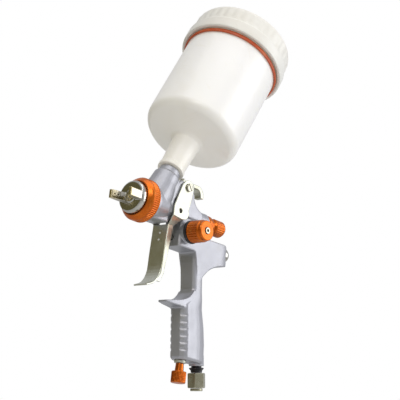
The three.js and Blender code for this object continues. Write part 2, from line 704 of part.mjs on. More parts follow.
function airCap() {
  const skirtBore = CAP_FACE_RADIUS - CAP_WALL - 0.6;
  const shell = turned([
    [CAP_REAR_X, skirtBore],
    [CAP_REAR_X, SPIGOT_RADIUS],
    [CAP_REAR_X - 2.2, SPIGOT_RADIUS],
    [CAP_REAR_X - 2.2, RING_LIP_RADIUS],
    [CAP_FACE_X + 2.4, RING_LIP_RADIUS],
    [CAP_FACE_X + 0.8, CAP_FACE_RADIUS],
    [CAP_FACE_X, CAP_FACE_RADIUS - 1.2],
    [CAP_FACE_X, 6.2],
    [CAP_FACE_X - 0.8, 5.2],
    [CAP_FACE_X - 0.8, CAP_HOLE_RADIUS],
    [CAP_FACE_X + CAP_WALL, CAP_HOLE_RADIUS],
    [CAP_FACE_X + CAP_WALL + 1, skirtBore],
  ], "x", 32);
  const jets = [];
  for (const side of [-1, 1]) {
    for (const reach of [6.4, 10]) {
      const jet = new THREE.CylinderGeometry(HORN_JET_RADIUS, HORN_JET_RADIUS, 4, 10);
      jets.push(jet.translate(CAP_FACE_X - reach, side * (HORN_ROOT_INNER_Y + 2.4 + reach * 0.2), 0));
    }
  }
  return cut(joined(shell, airCapHorn(-1), airCapHorn(1)), ...jets);
}

function fluidNozzle() {
  const seat = AIR_CHAMBER_REAR_X - CLEARANCE;
  const shankEnd = 1.6;
  return turned([
    [shankEnd, NOZZLE_BORE_RADIUS + 2.4],
    [seat, NOZZLE_BORE_RADIUS + 2.4],
    [seat, NOZZLE_RADIUS],
    [-13.4, NOZZLE_RADIUS],
    [-14.6, NOZZLE_RADIUS - 1.2],
    [CAP_FACE_X + 5.4, 4.4],
    [CAP_FACE_X + 2, NOZZLE_TIP_RADIUS + 0.1],
    [NOZZLE_TIP_X, NOZZLE_TIP_RADIUS],
    [NOZZLE_TIP_X, NOZZLE_ORIFICE_RADIUS],
    [NOZZLE_TIP_X + 1.6, NOZZLE_ORIFICE_RADIUS],
    [NOZZLE_TIP_X + 6, NOZZLE_BORE_RADIUS],
    [shankEnd, NOZZLE_BORE_RADIUS],
  ]);
}

function airBaffle() {
  const ring = tube(-12, -9, AIR_CHAMBER_RADIUS - CLEARANCE, NOZZLE_RADIUS + CLEARANCE);
  const middle = (AIR_CHAMBER_RADIUS + NOZZLE_RADIUS) / 2;
  const count = 8;
  const holes = [];
  for (let i = 0; i < count; i += 1) {
    const angle = (i / count) * 2 * Math.PI;
    holes.push(rod(-13, -8, 1.1, "x", 10).translate(0, middle * Math.cos(angle), middle * Math.sin(angle)));
  }
  return cut(ring, ...holes);
}

piece("air_cap_ring", airCapRing(), ORANGE_ANODISE);
piece("air_cap", airCap(), POLISHED_NICKEL);
piece("fluid_nozzle", fluidNozzle(), BRASS);
piece("air_baffle", airBaffle(), BRASS);

// ---------- fluid needle and what guides it ----------
const PUSH_BAR_REAR_X = PUSH_BAR_X + PUSH_BAR_THICKNESS / 2;
const NEEDLE_COLLAR_X = PUSH_BAR_REAR_X + PUSH_FREE_TRAVEL;
const NEEDLE_HEAD_REAR_X = NEEDLE_HEAD_X + NEEDLE_HEAD_LENGTH;
const FLUID_STEM_FRONT_X = BARREL_END_X - FLUID_STEM_DEPTH;

function fluidNeedle() {
  const tip = NOZZLE_TIP_X + 0.4;
  return turned([
    [tip, 0],
    [tip, 0.25],
    [tip + 1.4, NOZZLE_ORIFICE_RADIUS - CLEARANCE],
    [tip + 6, NEEDLE_RADIUS],
    [NEEDLE_COLLAR_X, NEEDLE_RADIUS],
    [NEEDLE_COLLAR_X, NEEDLE_COLLAR_RADIUS],
    [NEEDLE_HEAD_X, NEEDLE_COLLAR_RADIUS],
    [NEEDLE_HEAD_X, NEEDLE_HEAD_RADIUS],
    [NEEDLE_HEAD_REAR_X, NEEDLE_HEAD_RADIUS],
    [NEEDLE_HEAD_REAR_X, NEEDLE_TAIL_RADIUS],
    [NEEDLE_TAIL_X, NEEDLE_TAIL_RADIUS],
    [NEEDLE_TAIL_X, 0],
  ], "x", 16);
}

function needlePacking() {
  const rear = PACKING_FRONT_X + PACKING_LENGTH;
  return tube(PACKING_FRONT_X + CLEARANCE, rear, PACKING_BORE_RADIUS - CLEARANCE, NEEDLE_RADIUS + CLEARANCE);
}

function packingNut() {
  const head = HEAD_REAR_X + CLEARANCE;
  const hex = rod(head, head + PACKING_NUT_HEAD, PACKING_NUT_RADIUS, "x", 6);
  const shank = rod(PACKING_FRONT_X + PACKING_LENGTH + CLEARANCE, head + 1, PACKING_BORE_RADIUS - CLEARANCE);
  return cut(joined(hex, shank), rod(0, head + PACKING_NUT_HEAD + 1, NEEDLE_RADIUS + CLEARANCE));
}

function needlePushBar() {
  const halfLength = ARM_INNER_Y - CLEARANCE;
  const front = PUSH_BAR_REAR_X - PUSH_BAR_THICKNESS;
  const bar = box(front, PUSH_BAR_REAR_X, -halfLength, halfLength, -PUSH_BAR_HEIGHT / 2, PUSH_BAR_HEIGHT / 2);
  const slotY = PUSH_BAR_SLOT_WIDTH / 2;
  const slotZ = PUSH_BAR_SLOT_HEIGHT / 2;
  return cut(bar, box(front - 1, PUSH_BAR_REAR_X + 1, -slotY, slotY, -slotZ, slotZ));
}

function needleSpring() {
  const gap = CLEARANCE + SPRING_WIRE / 2;
  return coilSpring(NEEDLE_HEAD_REAR_X + gap, FLUID_STEM_FRONT_X - gap, NEEDLE_SPRING_RADIUS, NEEDLE_SPRING_TURNS, 0);
}

function lockCollar() {
  const front = BARREL_END_X + CLEARANCE;
  const rear = front + LOCK_COLLAR_LENGTH;
  const bore = FLUID_STEM_RADIUS + CLEARANCE;
  return turned([
    [front, bore],
    [front, LOCK_COLLAR_RADIUS - 1],
    [front + 1, LOCK_COLLAR_RADIUS],
    [rear - 4.4, LOCK_COLLAR_RADIUS],
    [rear - 3.2, LOCK_COLLAR_RADIUS - 1.6],
    [rear, LOCK_COLLAR_RADIUS - 1.6],
    [rear, bore],
  ]);
}

function fluidControlKnob() {
  const rear = FLUID_KNOB_FRONT_X + FLUID_KNOB_LENGTH;
  const boreEnd = NEEDLE_TAIL_X + 8;
  return turned([
    [FLUID_STEM_FRONT_X, FLUID_STEM_BORE_RADIUS],
    [FLUID_STEM_FRONT_X, FLUID_STEM_RADIUS],
    [FLUID_KNOB_FRONT_X - 1, FLUID_STEM_RADIUS],
    [FLUID_KNOB_FRONT_X, FLUID_KNOB_RADIUS - 1],
    [FLUID_KNOB_FRONT_X + 1, FLUID_KNOB_RADIUS],
    [rear - 3.4, FLUID_KNOB_RADIUS],
    [rear - 1, FLUID_KNOB_RADIUS - 1.6],
    [rear, FLUID_KNOB_RADIUS - 3.6],
    [rear, 0],
    [boreEnd, 0],
    [boreEnd, FLUID_STEM_BORE_RADIUS],
  ]);
}

piece("fluid_needle", fluidNeedle(), STEEL);
piece("needle_packing", needlePacking(), PALE_SEAL);
piece("packing_nut", packingNut(), BRASS);
piece("needle_push_bar", needlePushBar(), STEEL);
piece("needle_spring", needleSpring(), STEEL);
piece("needle_lock_collar", lockCollar(), ORANGE_ANODISE);
piece("fluid_control_knob", fluidControlKnob(), ORANGE_ANODISE);

// ---------- fan control ----------
const FAN_BASE_Y = FAN_BOSS_Y - CLEARANCE;
const FAN_KNOB_BACK_Y = FAN_BASE_Y - FAN_BASE_THICKNESS - CLEARANCE;
const FAN_KNOB_FACE_Y = FAN_KNOB_BACK_Y - FAN_KNOB_LENGTH;
const FAN_SCREW_FLOOR_Y = FAN_KNOB_FACE_Y + FAN_SCREW_DEPTH;

function fanControlBush() {
  const front = FAN_BASE_Y - FAN_BASE_THICKNESS;
  return turned([
    [front, FAN_STEM_RADIUS + CLEARANCE],
    [front, FAN_BASE_RADIUS - 0.6],
    [front + 0.6, FAN_BASE_RADIUS],
    [FAN_BASE_Y, FAN_BASE_RADIUS],
    [FAN_BASE_Y, FAN_STEM_RADIUS + CLEARANCE],
  ], "y");
}

function fanControlKnob() {
  const screwBore = FAN_SCREW_RADIUS + CLEARANCE;
  return turned([
    [FAN_KNOB_BACK_Y, FAN_STEM_RADIUS + CLEARANCE],
    [FAN_KNOB_BACK_Y, FAN_KNOB_RADIUS - 0.5],
    [FAN_KNOB_BACK_Y - 0.5, FAN_KNOB_RADIUS],
    [FAN_KNOB_FACE_Y + 4.6, FAN_KNOB_RADIUS],
    [FAN_KNOB_FACE_Y + 3, FAN_KNOB_RADIUS - 0.9],
    [FAN_KNOB_FACE_Y + 0.8, FAN_KNOB_RADIUS - 0.9],
    [FAN_KNOB_FACE_Y, FAN_KNOB_RADIUS - 1.7],
    [FAN_KNOB_FACE_Y, screwBore],
    [FAN_SCREW_FLOOR_Y, screwBore],
    [FAN_SCREW_FLOOR_Y, FAN_STEM_RADIUS + CLEARANCE],
  ], "y");
}

function fanKnobScrew() {
  const head = rod(FAN_KNOB_FACE_Y - 0.8, FAN_SCREW_FLOOR_Y - CLEARANCE, FAN_SCREW_RADIUS, "y");
  return cut(head, rod(FAN_KNOB_FACE_Y - 2, FAN_KNOB_FACE_Y + 2.4, 1.5, "y", 6));
}

function fanControlStem() {
  return rod(FAN_SCREW_FLOOR_Y + CLEARANCE, FAN_BORE_END_Y - 1, FAN_STEM_RADIUS, "y");
}

const onFanAxis = (geometry) => geometry.translate(FAN_X, 0, FAN_Z);
piece("fan_control_bush", onFanAxis(fanControlBush()), BLACK_OXIDE);
piece("fan_control_knob", onFanAxis(fanControlKnob()), ORANGE_ANODISE);
piece("fan_knob_screw", onFanAxis(fanKnobScrew()), STEEL);
piece("fan_control_stem", onFanAxis(fanControlStem()), STEEL);

// ---------- air valve ----------
const VALVE_SEAT_X = VALVE_BORE_FRONT_X + CLEARANCE;
const VALVE_DISC_X = VALVE_SEAT_X + VALVE_SEAT_THICKNESS + CLEARANCE;
const VALVE_DISC_REAR_X = VALVE_DISC_X + VALVE_DISC_THICKNESS;
const VALVE_PLUG_X = BLOCK_REAR_X - VALVE_PLUG_LENGTH;

function airValveStem() {
  return turned([
    [VALVE_STEM_FRONT_X, 0],
    [VALVE_STEM_FRONT_X + 0.3, 1.2],
    [VALVE_STEM_FRONT_X + 1, VALVE_STEM_RADIUS],
    [VALVE_DISC_X, VALVE_STEM_RADIUS],
    [VALVE_DISC_X, VALVE_DISC_RADIUS],
    [VALVE_DISC_REAR_X, VALVE_DISC_RADIUS],
    [VALVE_DISC_REAR_X, VALVE_STEM_RADIUS],
    [VALVE_STEM_REAR_X, VALVE_STEM_RADIUS],
    [VALVE_STEM_REAR_X, 0],
  ], "x", 16);
}

function airValveSeat() {
  const outer = VALVE_BORE_RADIUS - CLEARANCE;
  return tube(VALVE_SEAT_X, VALVE_SEAT_X + VALVE_SEAT_THICKNESS, outer, VALVE_STEM_RADIUS + CLEARANCE);
}

function airValveCap() {
  const front = BLOCK_REAR_X + CLEARANCE;
  const rear = front + VALVE_CAP_LENGTH;
  return turned([
    [VALVE_PLUG_X, 0],
    [VALVE_PLUG_X, VALVE_BORE_RADIUS - CLEARANCE],
    [front, VALVE_BORE_RADIUS - CLEARANCE],
    [front, VALVE_CAP_RADIUS],
    [rear - 5, VALVE_CAP_RADIUS],
    [rear - 2, VALVE_CAP_RADIUS - 1.4],
    [rear - 0.4, VALVE_CAP_RADIUS - 3.6],
    [rear, VALVE_CAP_RADIUS - 5.4],
    [rear, 0],
  ]);
}

function airValveSpring() {
  const gap = CLEARANCE + SPRING_WIRE / 2;
  return coilSpring(VALVE_DISC_REAR_X + gap, VALVE_PLUG_X - gap, VALVE_SPRING_RADIUS, VALVE_SPRING_TURNS, VALVE_Z);
}

const onValveAxis = (geometry) => geometry.translate(0, 0, VALVE_Z);
piece("air_valve_stem", onValveAxis(airValveStem()), STEEL);
piece("air_valve_seat", onValveAxis(airValveSeat()), PALE_SEAL);
piece("air_valve_spring", airValveSpring(), STEEL);
piece("air_valve_cap", onValveAxis(airValveCap()), POLISHED_NICKEL);

// ---------- trigger ----------
const ARM_OUTER_Y = ARM_INNER_Y + ARM_THICKNESS;

// Level by level down the trigger's cheeks: height, front edge, rear edge, outer half-width.
const CHEEK_LEVELS = [
  [-6, 14.9, 31.4, ARM_OUTER_Y],
  [-11, 14.8, 25, ARM_OUTER_Y - 2.2],
  [TRIGGER_PLATE_TOP_Z, 15, 22, 9.2],
  [-38, 13.6, 18.6, 9.1],
  [-60, 12.4, 15.8, 8.8],
  [-68, 8.6, 12.8, 8.2],
];

function triggerCheek(side) {
  return loft(CHEEK_LEVELS.map(([z, front, rear, outer]) => {
    const inner = outer - ARM_THICKNESS;
    const corners = [[front, outer], [rear, outer], [rear, inner], [front, inner]];
    return corners.map(([x, y]) => new THREE.Vector3(x, side * y, z));
  }));
}

function triggerArm(side) {
  const turn = THREE.MathUtils.degToRad;
  const shape = new THREE.Shape();
  shape.moveTo(14.9, -7);
  shape.lineTo(15.2, 2);
  shape.lineTo(24, 24.6);
  shape.absarc(PIVOT_X, PIVOT_Z, ARM_TOP_RADIUS, turn(158), turn(-12), true);
  shape.lineTo(36, 8);
  shape.absarc(LOBE_X, LOBE_Z, LOBE_RADIUS, turn(30), turn(-84), true);
  shape.lineTo(26, -8.6);
  return side < 0 ? plate(shape, -ARM_OUTER_Y, -ARM_INNER_Y) : plate(shape, ARM_INNER_Y, ARM_OUTER_Y);
}

// The finger plate follows the trigger's front edge and curls forward at its end.
function triggerFingerPlate() {
  const line = new THREE.SplineCurve([
    V2(15.4, TRIGGER_PLATE_TOP_Z),
    V2(13.9, -38),
    V2(12.6, -57),
    V2(7, -68.4),
    V2(-3, -73.6),
  ]);
  const steps = 18;
  const rings = [];
  for (let i = 0; i <= steps; i += 1) {
    const share = i / steps;
    const middle = line.getPoint(share);
    const along = line.getTangent(share);
    const across = V2(-along.y, along.x).multiplyScalar(ARM_THICKNESS / 2);
    const half = THREE.MathUtils.lerp(TRIGGER_PLATE_HALF_WIDTH, TRIGGER_TIP_HALF_WIDTH, share);
    const corners = [[1, 1], [1, -1], [-1, -1], [-1, 1]];
    rings.push(corners.map(
      ([face, side]) => new THREE.Vector3(middle.x + face * across.x, side * half, middle.y + face * across.y),
    ));
  }
  return loft(rings);
}

function trigger() {
  const past = ARM_OUTER_Y + RIM;
  const pivotHole = rod(-past, past, PIVOT_PIN_RADIUS + CLEARANCE, "y", 20).translate(PIVOT_X, 0, PIVOT_Z);
  const lobeHoles = rod(-past, past, LOBE_HOLE_RADIUS, "y", 16).translate(LOBE_HOLE_X, 0, LOBE_HOLE_Z);
  const plateHoles = [-22.6, -28.8].map(
    (z) => rod(8, 22, TRIGGER_PLATE_HOLE_RADIUS, "x", 12).translate(0, 0, z),
  );
  const shell = joined(triggerArm(-1), triggerArm(1), triggerCheek(-1), triggerCheek(1), triggerFingerPlate());
  return cut(shell, pivotHole, lobeHoles, ...plateHoles);
}

function pivotScrew() {
  const headBack = -ARM_OUTER_Y - CLEARANCE;
  const headFront = headBack - PIVOT_HEAD_THICKNESS;
  const shank = rod(headBack - 0.5, ARM_OUTER_Y + CLEARANCE + PIVOT_HEAD_THICKNESS, PIVOT_PIN_RADIUS, "y");
  const head = turned([
    [headBack, 0],
    [headBack, PIVOT_HEAD_RADIUS],
    [headFront + 0.4, PIVOT_HEAD_RADIUS],
    [headFront, PIVOT_HEAD_RADIUS - 0.6],
    [headFront, 0],
  ], "y");
  const past = PIVOT_HEAD_RADIUS + 1;
  const slot = box(-past, past, headFront - 1, headFront + 0.8, -0.6, 0.6);
  return cut(joined(shank, head), slot.rotateY(0.9)).translate(PIVOT_X, 0, PIVOT_Z);
}

function pivotNut() {
  const inner = ARM_OUTER_Y + CLEARANCE;
  const nut = tube(inner, inner + PIVOT_HEAD_THICKNESS, PIVOT_HEAD_RADIUS, PIVOT_PIN_RADIUS + CLEARANCE, "y");
  return nut.translate(PIVOT_X, 0, PIVOT_Z);
}

piece("trigger", trigger(), SATIN_NICKEL);
piece("trigger_pivot_screw", pivotScrew(), STEEL);
piece("trigger_pivot_nut", pivotNut(), STEEL);

// ---------- hanging hook ----------
function hangingHook() {
  const top = HOOK_SEAT_Z + HOOK_THICKNESS;
  const shape = new THREE.Shape();
  shape.moveTo(HOOK_FRONT_X, HOOK_SEAT_Z);
  shape.lineTo(HOOK_TIP_X - 8.4, HOOK_SEAT_Z);
  shape.quadraticCurveTo(HOOK_TIP_X - 5, HOOK_SEAT_Z - 1, HOOK_TIP_X - 4.2, HOOK_TIP_Z);
  shape.lineTo(HOOK_TIP_X, HOOK_TIP_Z);
  shape.quadraticCurveTo(HOOK_TIP_X + 0.4, top - 3, HOOK_TIP_X - 7, top);
  shape.lineTo(HOOK_FRONT_X + 2, top);
  shape.quadraticCurveTo(HOOK_FRONT_X, top, HOOK_FRONT_X, HOOK_SEAT_Z);
  const strip = plate(shape, -HOOK_HALF_WIDTH, HOOK_HALF_WIDTH, 0.6);
  const hole = rod(HOOK_SEAT_Z - 1, top + 1, HOOK_SHANK_RADIUS + CLEARANCE, "z", 16);
  return cut(strip, hole.translate(HOOK_SCREW_X, 0, 0));
}

function hookScrew() {
  const seat = HOOK_SEAT_Z + HOOK_THICKNESS + CLEARANCE;
  const end = BODY_TOP_Z - HOOK_SHANK_DEPTH;
  const shape = turned([
    [seat + 1.8, 0],
    [seat + 1.8, HOOK_SCREW_RADIUS - 0.8],
    [seat + 1, HOOK_SCREW_RADIUS],
    [seat, HOOK_SCREW_RADIUS],
    [seat, HOOK_SHANK_RADIUS],
    [end, HOOK_SHANK_RADIUS],
    [end, 0],
  ], "z", 16);
  const past = HOOK_SCREW_RADIUS + 1;
  return cut(shape, box(-past, past, -0.5, 0.5, seat + 1, seat + 3)).translate(HOOK_SCREW_X, 0, 0);
}

piece("hanging_hook", hangingHook(), SATIN_NICKEL);
piece("hook_screw", hookScrew(), STEEL);

// ---------- paint cup ----------
const CUP_BOTTOM = METAL_NECK_TOP + CLEARANCE;
const CUP_NECK_FLOOR = CUP_BOTTOM + CUP_NECK_STEP;

// Points of a round corner that turns from the funnel's slope into the straight cup wall.
function shoulderArc(radius, wallRadius) {
  const steps = 6;
  const points = [];
  for (let i = 0; i <= steps; i += 1) {
    const angle = CUP_FUNNEL_SLOPE * (1 - i / steps);
    points.push([CUP_SHOULDER - radius * Math.sin(angle), wallRadius - radius + radius * Math.cos(angle)]);
  }
  return points;
}

function paintCup() {
  const outer = shoulderArc(CUP_FUNNEL_ROUNDING, CUP_RADIUS);
  const inner = shoulderArc(CUP_FUNNEL_ROUNDING - CUP_WALL, CUP_RADIUS - CUP_WALL);
  const collarTop = CUP_BOTTOM + CUP_COLLAR_HEIGHT;
  return turned([
    [CUP_BOTTOM, CUP_SPOUT_RADIUS],
    [CUP_BOTTOM - CUP_SPOUT_DROP, CUP_SPOUT_RADIUS],
    [CUP_BOTTOM - CUP_SPOUT_DROP, CUP_SPOUT_RADIUS - 1.4],
    [CUP_NECK_FLOOR - 1, CUP_SPOUT_RADIUS - 1.4],
    [CUP_NECK_FLOOR, CUP_NECK_INNER_RADIUS],
    [CUP_FUNNEL_START, CUP_NECK_TOP_RADIUS - 2],
    [CUP_FUNNEL_START + 3.4, CUP_NECK_TOP_RADIUS],
    ...inner,
    [CUP_TOP, CUP_RADIUS - CUP_WALL],
    [CUP_TOP, CUP_RADIUS],
    ...outer.reverse(),
    [CUP_FUNNEL_START + 1, CUP_NECK_TOP_RADIUS + 3],
    [CUP_FUNNEL_START - 1.4, CUP_NECK_TOP_RADIUS],
    [collarTop, CUP_NECK_RADIUS],
    [collarTop - 0.4, CUP_COLLAR_RADIUS],
    [CUP_BOTTOM + 0.4, CUP_COLLAR_RADIUS],
    [CUP_BOTTOM, CUP_COLLAR_RADIUS - 0.4],
  ], "z", 48);
}

// The strainer basket that stands on the floor of the cup's neck.
function cupFilter() {
  const foot = CUP_NECK_FLOOR + CLEARANCE;
  const rim = foot + FILTER_HEIGHT;
  return turned([
    [foot, 0],
    [foot, FILTER_FOOT_RADIUS],
    [rim - 2, FILTER_RIM_RADIUS - 0.6],
    [rim - 2, FILTER_RIM_RADIUS],
    [rim, FILTER_RIM_RADIUS],
    [rim, FILTER_RIM_RADIUS - 1.8],
    [foot + 1.2, FILTER_FOOT_RADIUS - 1.2],
    [foot + 1.2, 0],
  ], "z", 16);
}

function cupSealRing() {
  const inner = CUP_RADIUS + CLEARANCE;
  return tube(SEAL_BOTTOM, SEAL_BOTTOM + SEAL_HEIGHT, inner + SEAL_WALL, inner, "z", 48);
}

function cupLid() {
  const skirtBottom = SEAL_BOTTOM + SEAL_HEIGHT + CLEARANCE;
  const stepTop = LID_TOP - LID_STEP_HEIGHT;
  const seatRadius = CUP_RADIUS + LID_SEAT_GAP;
  const skirtRadius = seatRadius + LID_SKIRT_WALL;
  const capRadius = skirtRadius - LID_STEP;
  const shell = turned([
    [skirtBottom, seatRadius],
    [skirtBottom, skirtRadius - 1],
    [skirtBottom + 1, skirtRadius],
    [stepTop, skirtRadius],
    [stepTop + 1.6, capRadius],
    [LID_TOP - LID_ROUNDING, capRadius],
    [LID_TOP - LID_ROUNDING * 0.3, capRadius - LID_ROUNDING * 0.3],
    [LID_TOP, capRadius - LID_ROUNDING],
    [LID_TOP, 0],
    [LID_TOP - LID_WALL, 0],
    [LID_TOP - LID_WALL, capRadius - LID_WALL - 1.6],
    [stepTop, seatRadius],
  ], "z", 48);
  const hole = rod(LID_TOP - LID_WALL - 1, LID_TOP + 1, VENT_STEM_RADIUS + CLEARANCE, "z", 16);
  return cut(shell, hole.translate(VENT_OFFSET, 0, 0));
}

function lidVentPlug() {
  const seat = LID_TOP + CLEARANCE;
  const shape = turned([
    [LID_TOP - 5, 0],
    [LID_TOP - 5, VENT_STEM_RADIUS],
    [seat, VENT_STEM_RADIUS],
    [seat, VENT_RADIUS],
    [seat + VENT_HEIGHT - 1, VENT_RADIUS - 0.4],
    [seat + VENT_HEIGHT, VENT_RADIUS - 1.4],
    [seat + VENT_HEIGHT, 0],
  ], "z", 20);
  return shape.translate(VENT_OFFSET, 0, 0);
}

piece("paint_cup", onCupAxis(paintCup()), MILKY_PLASTIC);
piece("cup_filter", onCupAxis(cupFilter()), WHITE_PLASTIC);
piece("cup_seal_ring", onCupAxis(cupSealRing()), RED_SEAL);
piece("cup_lid", onCupAxis(cupLid()), WHITE_PLASTIC);
piece("lid_vent_plug", onCupAxis(lidVentPlug()), WHITE_PLASTIC);

// ---------- air inlet ----------
const INLET_COLLAR_TOP = -INLET_BOSS_DROP - CLEARANCE;
const INLET_COLLAR_BOTTOM = INLET_COLLAR_TOP - INLET_COLLAR_LENGTH;
const INLET_THROAT_BOTTOM = INLET_COLLAR_BOTTOM - INLET_THROAT_LENGTH;
const INLET_NUT_TOP = INLET_THROAT_BOTTOM - CLEARANCE;
const INLET_NUT_BOTTOM = INLET_NUT_TOP - INLET_NUT_LENGTH;
const INLET_TAIL_TOP = INLET_NUT_BOTTOM - CLEARANCE;
const INLET_END = INLET_TAIL_TOP - INLET_TAIL_LENGTH;

function airInletCollar() {
  return turned([
    [INLET_SPIGOT_DEPTH, INLET_BORE_RADIUS],
    [INLET_SPIGOT_DEPTH, INLET_SPIGOT_RADIUS],
    [INLET_COLLAR_TOP - 1, INLET_SPIGOT_RADIUS],
    [INLET_COLLAR_TOP - 1, INLET_COLLAR_RADIUS - 0.6],
    [INLET_COLLAR_TOP - 1.8, INLET_COLLAR_RADIUS],
    [INLET_COLLAR_BOTTOM + 1, INLET_COLLAR_RADIUS - 0.6],
    [INLET_COLLAR_BOTTOM, INLET_THROAT_RADIUS],
    [INLET_THROAT_BOTTOM, INLET_THROAT_RADIUS],
    [INLET_THROAT_BOTTOM, INLET_BORE_RADIUS],
  ], "z");
}

function airInletNut() {
  const corner = INLET_NUT_ACROSS_FLATS / 2 / Math.cos(Math.PI / 6);
  const prism = rod(INLET_NUT_BOTTOM, INLET_NUT_TOP, corner, "z", 6);
  const chamfer = turned([
    [INLET_NUT_BOTTOM, 0],
    [INLET_NUT_BOTTOM, corner - 1],
    [INLET_NUT_BOTTOM + 0.8, corner + 0.1],
    [INLET_NUT_TOP - 0.8, corner + 0.1],
    [INLET_NUT_TOP, corner - 1],
    [INLET_NUT_TOP, 0],
  ], "z");
  return cut(common(prism, chamfer), rod(INLET_NUT_BOTTOM - 1, INLET_NUT_TOP + 1, INLET_BORE_RADIUS, "z"));
}

function airInletTail() {
  return turned([
    [INLET_TAIL_TOP, INLET_BORE_RADIUS],
    [INLET_TAIL_TOP, INLET_TAIL_RADIUS],
    [INLET_END + 0.5, INLET_TAIL_RADIUS],
    [INLET_END, INLET_TAIL_RADIUS - 0.3],
    [INLET_END, INLET_BORE_RADIUS],
  ], "z");
}

piece("air_inlet_collar", onInletAxis(airInletCollar()), BLACK_OXIDE);
piece("air_inlet_nut", onInletAxis(airInletNut()), SATIN_NICKEL);
piece("air_inlet_tail", onInletAxis(airInletTail()), SATIN_NICKEL);

// ---------- air regulator ----------
const BUSH_TOP = -CLEARANCE;
const BUSH_BOTTOM = BUSH_TOP - REGULATOR_BUSH_LENGTH;
const KNOB_NECK_TOP = BUSH_BOTTOM - CLEARANCE;
const KNOB_TOP = KNOB_NECK_TOP - REGULATOR_NECK_LENGTH;
const KNOB_BOTTOM = KNOB_TOP - REGULATOR_KNOB_LENGTH;

function regulatorBush() {
  return turned([
    [REGULATOR_BUSH_DEPTH, REGULATOR_STEM_RADIUS + CLEARANCE],
    [REGULATOR_BUSH_DEPTH, REGULATOR_BORE_RADIUS - CLEARANCE],
    [BUSH_TOP, REGULATOR_BORE_RADIUS - CLEARANCE],
    [BUSH_TOP, REGULATOR_BUSH_RADIUS],
    [BUSH_BOTTOM, REGULATOR_BUSH_RADIUS - 0.4],
    [BUSH_BOTTOM, REGULATOR_STEM_RADIUS + CLEARANCE],
  ], "z");
}

function regulatorStem() {
  const valveBottom = REGULATOR_BUSH_DEPTH + CLEARANCE;
  const end = KNOB_BOTTOM + REGULATOR_KNOB_FLOOR + CLEARANCE;
  return turned([
    [REGULATOR_DEPTH - 1, 0],
    [REGULATOR_DEPTH - 1, 0.6],
    [REGULATOR_DEPTH - 4, REGULATOR_STEM_RADIUS + 1],
    [valveBottom, REGULATOR_STEM_RADIUS + 1],
    [valveBottom, REGULATOR_STEM_RADIUS],
    [end, REGULATOR_STEM_RADIUS],
    [end, 0],
  ], "z", 16);
}

function regulatorKnob() {
  const floor = KNOB_BOTTOM + REGULATOR_KNOB_FLOOR;
  return turned([
    [KNOB_NECK_TOP, REGULATOR_STEM_RADIUS + CLEARANCE],
    [KNOB_NECK_TOP, REGULATOR_NECK_RADIUS],
    [KNOB_TOP, REGULATOR_NECK_RADIUS + 0.4],
    [KNOB_TOP, REGULATOR_KNOB_RADIUS - 0.6],
    [KNOB_TOP - 0.6, REGULATOR_KNOB_RADIUS],
    [KNOB_BOTTOM + 0.6, REGULATOR_KNOB_RADIUS],
    [KNOB_BOTTOM, REGULATOR_KNOB_RADIUS - 0.6],
    [KNOB_BOTTOM, 0],
    [floor, 0],
    [floor, REGULATOR_STEM_RADIUS + CLEARANCE],
  ], "z");
}

const onRegulatorAxis = (geometry) => geometry.translate(REGULATOR_X, 0, GRIP_BOTTOM_Z);
piece("air_regulator_bush", onRegulatorAxis(regulatorBush()), SATIN_NICKEL);
piece("air_regulator_stem", onRegulatorAxis(regulatorStem()), STEEL);
piece("air_regulator_knob", onRegulatorAxis(regulatorKnob()), ORANGE_ANODISE);

// ---------- the whole gun, hung from the seat of its hook ----------
gun.position.set(-HOOK_SEAT_X, 0, -HOOK_SEAT_Z);
const sprayGun = new THREE.Group();
sprayGun.add(gun);

export default sprayGun;
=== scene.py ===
"""Looks of a gravity-feed spray gun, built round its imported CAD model."""
import json
import math

import bmesh
import bpy
from mathutils import Matrix, Vector


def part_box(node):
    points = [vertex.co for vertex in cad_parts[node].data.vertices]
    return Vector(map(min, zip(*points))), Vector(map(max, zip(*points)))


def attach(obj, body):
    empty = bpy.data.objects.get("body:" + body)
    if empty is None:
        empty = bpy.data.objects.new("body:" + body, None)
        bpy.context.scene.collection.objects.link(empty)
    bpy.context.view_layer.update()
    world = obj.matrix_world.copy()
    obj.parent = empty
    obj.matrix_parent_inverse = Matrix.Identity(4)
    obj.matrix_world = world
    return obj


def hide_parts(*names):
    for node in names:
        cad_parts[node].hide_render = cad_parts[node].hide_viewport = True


MM = 0.001
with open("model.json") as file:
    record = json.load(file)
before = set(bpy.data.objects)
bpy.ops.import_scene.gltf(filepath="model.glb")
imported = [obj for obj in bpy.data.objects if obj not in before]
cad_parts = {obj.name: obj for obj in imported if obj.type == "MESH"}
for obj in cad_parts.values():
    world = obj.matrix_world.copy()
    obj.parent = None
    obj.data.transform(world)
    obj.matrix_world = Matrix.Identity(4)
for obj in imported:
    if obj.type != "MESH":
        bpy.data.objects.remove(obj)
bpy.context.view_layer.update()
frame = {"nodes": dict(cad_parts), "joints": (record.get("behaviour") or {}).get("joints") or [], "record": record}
RECORD = frame["record"]
JOINTS = {joint["name"]: joint for joint in frame["joints"]}
BODY_OF = {node: body for body, nodes in RECORD["behaviour"]["bodies"].items() for node in nodes}
SLOT_OF = {part["node"]: part["material_slot"] for part in RECORD["subparts"]}


# ---------- shader node groups ----------
def new_group(name, inputs, outputs):
    """An empty group with named sockets, and its two end nodes."""
    tree = bpy.data.node_groups.new(name, "ShaderNodeTree")
    for label, kind, value in inputs:
        socket = tree.interface.new_socket(name=label, in_out="INPUT", socket_type=kind)
        socket.default_value = value
    for label, kind in outputs:
        tree.interface.new_socket(name=label, in_out="OUTPUT", socket_type=kind)
    start = tree.nodes.new("NodeGroupInput")
    end = tree.nodes.new("NodeGroupOutput")
    return tree, start, end


